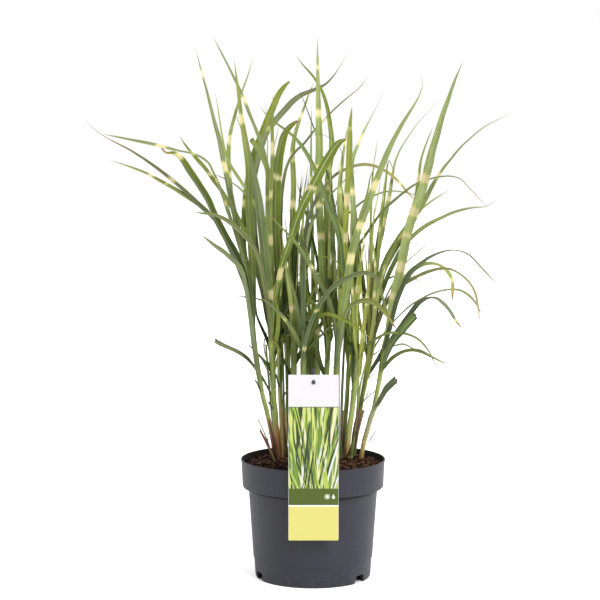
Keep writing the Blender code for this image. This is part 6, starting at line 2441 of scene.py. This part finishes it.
@dataclass(frozen=True)
class Soil:
    """The root ball's crumbly top with its clods, bark and fibres."""

    edge_height: float = 0.1495
    crown: float = 0.0055
    lump: float = 0.0011
    waves: tuple[float, float, float, float] = (151.0, 127.0, 263.0, 211.0)
    fine_share: float = 0.6
    crumbs: tuple[tuple[float, float, float], ...] = ((170.0, 0.0011, 3.7), (520.0, 0.0005, 9.1))
    sunk: float = 0.0004
    rim_radius: float = 0.095
    top_radius: float = 0.0928
    outline: tuple[tuple[float, float], ...] = (
        (0.0755, 0.0138), (0.0835, 0.1225), (0.0910, 0.1225), (0.0925, 0.1480))
    rings: int = 46
    sides: int = 150
    clods: int = 1500
    fibres: int = 900
    chips: int = 90
    clod_reach: float = 0.0900
    litter_reach: float = 0.0870
    fibre_limit: float = 0.0905
    fibre_steps: int = 6
    chip_sides: int = 6
    least_clod: float = 0.00055
    clod_spread: float = 0.0016
    fibre_length: tuple[float, float] = (0.004, 0.015)
    fibre_thickness: tuple[float, float] = (0.00014, 0.00034)
    fibre_lift: tuple[float, float] = (0.0002, 0.0014)
    chip_length: tuple[float, float] = (0.0015, 0.0048)
    chip_thickness: tuple[float, float] = (0.0003, 0.0008)
    seeds: tuple[int, int, int] = (5501, 5502, 5503)

    def height(self, x: float, y: float) -> float:
        """Find the soil's height without its crumbs.

        Args:
            x: The place across.
            y: The place in depth.

        Returns:
            The height.
        """
        share = min(1.0, math.hypot(x, y) / self.rim_radius)
        lumps = math.sin(x * self.waves[0] + 0.7) * math.cos(y * self.waves[1] - 0.4)
        lumps += self.fine_share * math.sin(x * self.waves[2] - y * self.waves[3])
        return self.edge_height + self.crown * (1.0 - share * share) + self.lump * lumps

    def rough_height(self, x: float, y: float) -> float:
        """Find the soil's height with crumbs from noise.

        Args:
            x: The place across.
            y: The place in depth.

        Returns:
            The height.
        """
        height = self.height(x, y) - self.sunk
        for scale, lift, level in self.crumbs:
            height += lift * noise.noise(Vector((x * scale, y * scale, level)))
        return height

    def build(self, effects: Effects) -> None:
        """Build the soil and what lies on it.

        Args:
            effects: The shared node groups.
        """
        peat = PeatFinish("moist_peat", (0.0065, 0.0034, 0.0024), (0.052, 0.024, 0.014),
                          420.0, 0.0009).material(effects)
        fibre = PeatFinish("peat_fibre", (0.07, 0.034, 0.018), (0.44, 0.24, 0.13),
                           300.0, 0.0002).material(effects)
        bark = PeatFinish("bark_chip", (0.045, 0.024, 0.015), (0.21, 0.12, 0.075),
                          500.0, 0.0003).material(effects)
        stand_for(self.surface(peat), "potting_soil", "soil")
        stand_for(self.clod_piece(peat), "potting_soil")
        stand_for(self.fibre_piece(fibre), "potting_soil")
        stand_for(self.chip_piece(bark), "potting_soil")
        LOG.info("soil with %d clods, %d fibres and %d chips",
                 self.clods, self.fibres, self.chips)

    def surface(self, material: bpy.types.Material) -> bpy.types.Object:
        """Return the closed root ball with its rough top.

        Args:
            material: The peat's material.

        Returns:
            The piece.
        """
        rings = [(self.top_radius * (k / self.rings), None) for k in range(1, self.rings + 1)]
        rings += reversed(self.outline)
        points = [(0.0, 0.0, self.rough_height(0.0, 0.0))]
        for radius, height in rings:
            for k in range(self.sides):
                angle = k * math.tau / self.sides
                x, y = radius * math.cos(angle), radius * math.sin(angle)
                points.append((x, y, self.rough_height(x, y) if height is None else height))
        faces = [(0, 1 + k, 1 + (k + 1) % self.sides) for k in range(self.sides)]
        faces += ring_faces(1, len(rings), self.sides)
        faces.append(tuple(range(len(points) - self.sides, len(points))))
        return new_object("peat_top", new_mesh("peat_top", points, faces), material)

    def spot(self, chooser: random.Random, reach: float) -> tuple[float, float, float]:
        """Return a chance place on the soil.

        Args:
            chooser: The seeded source of chance.
            reach: Greatest distance from the axis.

        Returns:
            The place, on the rough surface.
        """
        radius = reach * math.sqrt(chooser.random())
        angle = chooser.uniform(0.0, math.tau)
        x, y = radius * math.cos(angle), radius * math.sin(angle)
        return x, y, self.rough_height(x, y)

    def clod_piece(self, material: bpy.types.Material) -> bpy.types.Object:
        """Build the joined crumbs of peat.

        Args:
            material: The pieces' material.

        Returns:
            The piece.
        """
        chooser = random.Random(self.seeds[0])
        pattern = bmesh.new()
        bmesh.ops.create_icosphere(pattern, subdivisions=2, radius=1.0)
        shape = np.array([vert.co[:] for vert in pattern.verts])
        ties = [tuple(vert.index for vert in face.verts) for face in pattern.faces]
        pattern.free()
        heap = Heap("peat_clods")
        for index in range(self.clods):
            x, y, z = self.spot(chooser, self.clod_reach)
            size = self.least_clod + self.clod_spread * chooser.random() ** 2.4
            stretch = np.array([chooser.uniform(0.7, 1.35) for _ in range(3)])
            stretch[2] *= 0.75
            bumps = np.array([1.0 + 0.42 * noise.noise(Vector(point) * 1.5
                              + Vector((index * 1.7, 0.3, 0.9))) for point in shape])
            turn = chooser.uniform(0.0, math.tau)
            spin = np.array(((math.cos(turn), -math.sin(turn), 0.0),
                             (math.sin(turn), math.cos(turn), 0.0), (0.0, 0.0, 1.0)))
            body = (shape * bumps[:, None] * stretch * size) @ spin.T
            heap.put(body + np.array((x, y, z + size * 0.25)), ties)
        return heap.heaped(material)

    def fibre_piece(self, material: bpy.types.Material) -> bpy.types.Object:
        """Build the joined root and peat fibres, each a bent three-sided thread.

        Args:
            material: The pieces' material.

        Returns:
            The piece.
        """
        chooser = random.Random(self.seeds[1])
        heap = Heap("peat_fibres")
        steps = self.fibre_steps
        end = steps * 3
        ties = [*ring_faces(0, steps + 1, 3), (2, 1, 0), (end, end + 1, end + 2)]
        for _ in range(self.fibres):
            x, y, _ = self.spot(chooser, self.litter_reach)
            length = chooser.uniform(*self.fibre_length)
            thick = chooser.uniform(*self.fibre_thickness)
            turn = chooser.uniform(0.0, math.tau)
            bend = chooser.uniform(-1.3, 1.3)
            lift = chooser.uniform(*self.fibre_lift)
            line = []
            for k in range(steps + 1):
                share = k / steps
                heading = turn + bend * share
                if k:
                    x += math.cos(heading) * length / steps
                    y += math.sin(heading) * length / steps
                if math.hypot(x, y) > self.fibre_limit:
                    pull = self.fibre_limit / math.hypot(x, y)
                    x, y = x * pull, y * pull
                rise = lift * math.sin(share * math.pi) ** 0.7
                line.append((x, y, self.rough_height(x, y) + 0.0002 + rise))
            line_points = np.array(line)
            tangents = unit(np.gradient(line_points, axis=0) + 1e-9)
            right = unit(np.cross(tangents, (0.0, 0.0, 1.0)))
            above = np.cross(right, tangents)
            radii = thick * (0.35 + 0.65 * np.sin(np.linspace(0.15, math.pi - 0.15, steps + 1)))
            ring = []
            for k in range(3):
                angle = k * math.tau / 3.0
                ring.append(line_points + (right * math.cos(angle) + above * math.sin(angle))
                            * radii[:, None])
            heap.put(np.stack(ring, axis=1).reshape(-1, 3), ties)
        return heap.heaped(material)

    def chip_piece(self, material: bpy.types.Material) -> bpy.types.Object:
        """Build the joined splinters of bark.

        Args:
            material: The pieces' material.

        Returns:
            The piece.
        """
        chooser = random.Random(self.seeds[2])
        heap = Heap("bark_chips")
        sides = self.chip_sides
        ties = [tuple(reversed(range(sides))), tuple(range(sides, 2 * sides)),
                *ring_faces(0, 2, sides)]
        for index in range(self.chips):
            x, y, z = self.spot(chooser, self.litter_reach)
            length = chooser.uniform(*self.chip_length)
            width = length * chooser.uniform(0.18, 0.45)
            thick = chooser.uniform(*self.chip_thickness)
            turn = chooser.uniform(0.0, math.tau)
            tilt = chooser.uniform(-0.35, 0.35)
            heading = np.array((math.cos(turn), math.sin(turn), tilt))
            side = np.array((-math.sin(turn), math.cos(turn), chooser.uniform(-0.3, 0.3)))
            up = np.cross(heading, side)
            body = []
            for level, size in ((-0.5, 0.85), (0.5, 1.0)):
                for k in range(sides):
                    angle = k * math.tau / sides + 0.3
                    reach = size * (1.0 + 0.25 * math.sin(k * 2.3 + index))
                    body.append(np.array((x, y, z + 0.0007))
                                + heading * length * math.cos(angle) * reach * 0.5
                                + side * width * math.sin(angle) * reach * 0.5
                                + up * thick * level)
            heap.put(np.array(body), ties)
        return heap.heaped(material, False)


@dataclass(frozen=True)
class HangLabel:
    """The printed card and the stake with the peg and button that carry it."""

    width: float = 0.0640
    top: float = 0.2815
    bottom: float = 0.0680
    thickness: float = 0.0008
    plane: float = -0.0963
    corner: float = 0.0012
    hole_radius: float = 0.0021
    hole_drop: float = 0.0095
    bevel: float = 0.00012
    stake_radius: float = 0.0022
    stake_plane: float = -0.0840
    stake_top: float = 0.2880
    stake_foot: float = 0.1240
    point_length: float = 0.008
    point_radius: float = 0.0006
    peg_radius: float = 0.0017
    button_radius: float = 0.0027
    button_thickness: float = 0.0012
    button_gap: float = 0.0003
    peg_end: float = 0.0849
    corner_steps: int = 6
    hole_sides: int = 40
    stake_sides: int = 32
    peg_sides: int = 28
    weld: float = 1e-6
    card_crease: float = 12.0
    stake_crease: float = 32.0

    def build(self, effects: Effects) -> None:
        """Build and dress the label.

        Args:
            effects: The shared node groups.
        """
        stand_for(self.card(CardFinish().material()), "label_card", "label_card")
        stake = StakeFinish().material(effects)
        stand_for(self.rod(stake), "stake_plastic", "label_stake")
        LOG.info("label card and stake")

    def card(self, material: bpy.types.Material) -> bpy.types.Object:
        """Build the card with rounded corners, a soft edge and its hole.

        Args:
            material: The label's material.

        Returns:
            The piece.
        """
        height = self.top - self.bottom
        curve = bpy.data.curves.new("card_outline", "CURVE")
        curve.dimensions = "2D"
        curve.fill_mode = "BOTH"
        curve.extrude = self.thickness * 0.5 - self.bevel
        curve.bevel_depth = self.bevel
        curve.bevel_resolution = 2
        outline = []
        for quadrant, (sx, sy) in enumerate(((1, 1), (-1, 1), (-1, -1), (1, -1))):
            centre_x = sx * (self.width * 0.5 - self.corner)
            centre_y = sy * (height * 0.5 - self.corner)
            for step in range(self.corner_steps + 1):
                angle = (quadrant + step / self.corner_steps) * math.pi * 0.5
                reach = self.corner - self.bevel
                outline.append((centre_x + reach * math.cos(angle),
                                centre_y + reach * math.sin(angle)))
        middle = height * 0.5 - self.hole_drop
        hole = []
        for step in range(self.hole_sides):
            angle = step * math.tau / self.hole_sides
            reach = self.hole_radius + self.bevel
            hole.append((reach * math.cos(angle), middle + reach * math.sin(angle)))
        for points in (outline, hole):
            spline = curve.splines.new("POLY")
            spline.points.add(len(points) - 1)
            spline.use_cyclic_u = True
            for point, (across, up) in zip(spline.points, points):
                point.co = (across, up, 0.0, 1.0)
        guide = bpy.data.objects.new("card_outline", curve)
        bpy.context.scene.collection.objects.link(guide)
        mesh = baked_mesh(guide)
        bpy.data.objects.remove(guide, do_unlink=True)
        for vert in mesh.vertices:
            across, up, out = vert.co
            vert.co = (across, self.plane - out, (self.top + self.bottom) * 0.5 + up)
        turn_outward(mesh, self.weld)
        smooth_by_angle(mesh, self.card_crease)
        return new_object("printed_label", mesh, material)

    def rod(self, material: bpy.types.Material) -> bpy.types.Object:
        """Build the stake with its peg and drop-shaped button.

        Args:
            material: The stake's material.

        Returns:
            The piece.
        """
        rod_profile = [
            (0.0, self.stake_top),
            (self.stake_radius * 0.55, self.stake_top - 0.0002),
            (self.stake_radius * 0.86, self.stake_top - 0.0008),
            (self.stake_radius, self.stake_top - 0.0022),
            (self.stake_radius, self.stake_foot + self.point_length),
            (self.point_radius, self.stake_foot),
            (0.0, self.stake_foot),
        ]
        mesh = turned_mesh("stake_rod", rod_profile, self.stake_sides, (0.0, self.stake_plane))
        rod = new_object("label_stake_rod", mesh, material)
        front = self.plane - self.thickness * 0.5 - self.button_gap
        face = front - self.button_thickness
        peg_profile = [
            (0.0, -face),
            (self.button_radius * 0.55, -face - 0.00005),
            (self.button_radius * 0.85, -face - 0.0003),
            (self.button_radius, -face - 0.0007),
            (self.button_radius, -front),
            (self.peg_radius, -front),
            (self.peg_radius, self.peg_end),
            (0.0, self.peg_end),
        ]
        peg_mesh = turned_mesh("stake_peg", peg_profile, self.peg_sides)
        for vert in peg_mesh.vertices:
            across, aside, out = vert.co
            if out > -front - 0.0001 and aside > 0.0:
                aside *= 1.0 + 0.22 * (aside / self.button_radius)
                across *= 1.0 - 0.25 * (aside / self.button_radius)
            vert.co = (across, -out, self.top - self.hole_drop + aside)
        peg = new_object("stake_peg", peg_mesh, material)
        combine(rod, [peg], "UNION", "MANIFOLD")
        turn_outward(rod.data)
        smooth_by_angle(rod.data, self.stake_crease)
        return rod


@dataclass(frozen=True)
class Sun:
    """A large, far and soft lamp."""

    name: str
    heading: tuple[float, float, float]
    softness: float
    strength: float

    def build(self) -> None:
        """Hang the lamp."""
        data = bpy.data.lights.new(self.name, "SUN")
        data.angle = math.radians(self.softness)
        data.energy = self.strength
        lamp = bpy.data.objects.new(self.name, data)
        lamp.rotation_euler = Vector(self.heading).to_track_quat("Z", "Y").to_euler()
        bpy.context.scene.collection.objects.link(lamp)


@dataclass(frozen=True)
class Studio:
    """A lit white paper floor, a white surround that dims to the front, and soft lamps."""

    floor_radius: float = 9.0
    floor_height: float = -0.0002
    floor_sides: int = 96
    front_level: float = 0.30
    back_level: float = 1.0
    lamps: tuple[Sun, ...] = (Sun("key_lamp", (0.60, -0.80, 0.9), 28.0, 3.0),
                              Sun("fill_lamp", (-0.85, -0.45, 0.6), 40.0, 0.15))

    def build(self) -> None:
        """Build the floor, the surround and the lamps."""
        turns = [k * math.tau / self.floor_sides for k in range(self.floor_sides)]
        points = [(self.floor_radius * math.cos(turn), self.floor_radius * math.sin(turn),
                   self.floor_height) for turn in turns]
        mesh = new_mesh("floor", points, [tuple(range(len(points)))], False, False)
        floor = new_object("floor", mesh, FloorFinish().material())
        self.build_surround()
        for lamp in self.lamps:
            lamp.build()
        bpy.context.scene.view_settings.view_transform = "Standard"
        LOG.info("studio with %d lamps", len(self.lamps))

    def build_surround(self) -> None:
        """Light the plant from a white surround that is dimmer in front."""
        world = bpy.data.worlds.new("surround")
        world.use_nodes = True
        bench = Bench(world.node_tree)
        shade = world.node_tree.nodes["Background"]
        _, depth, _ = bench.split(bench.node("ShaderNodeTexCoord", {})["Generated"])
        level = bench.soft_step(depth, -0.7, 0.5, self.front_level, self.back_level)
        bench.feed(shade.inputs["Color"], bench.mix(
            bench.camera_ray(), bench.vector(level, level, level), (1.0, 1.0, 1.0)))
        bpy.context.scene.world = world


def main() -> None:
    """Build the potted grass and its studio."""
    logging.basicConfig(level=logging.INFO, format="%(name)s: %(message)s")
    effects = Effects()
    Pot().build(effects)
    Soil().build(effects)
    HangLabel().build(effects)
    Clump(effects).build()
    Studio().build()
    SIGHT.place_camera()


if __name__ == "__main__":
    main()
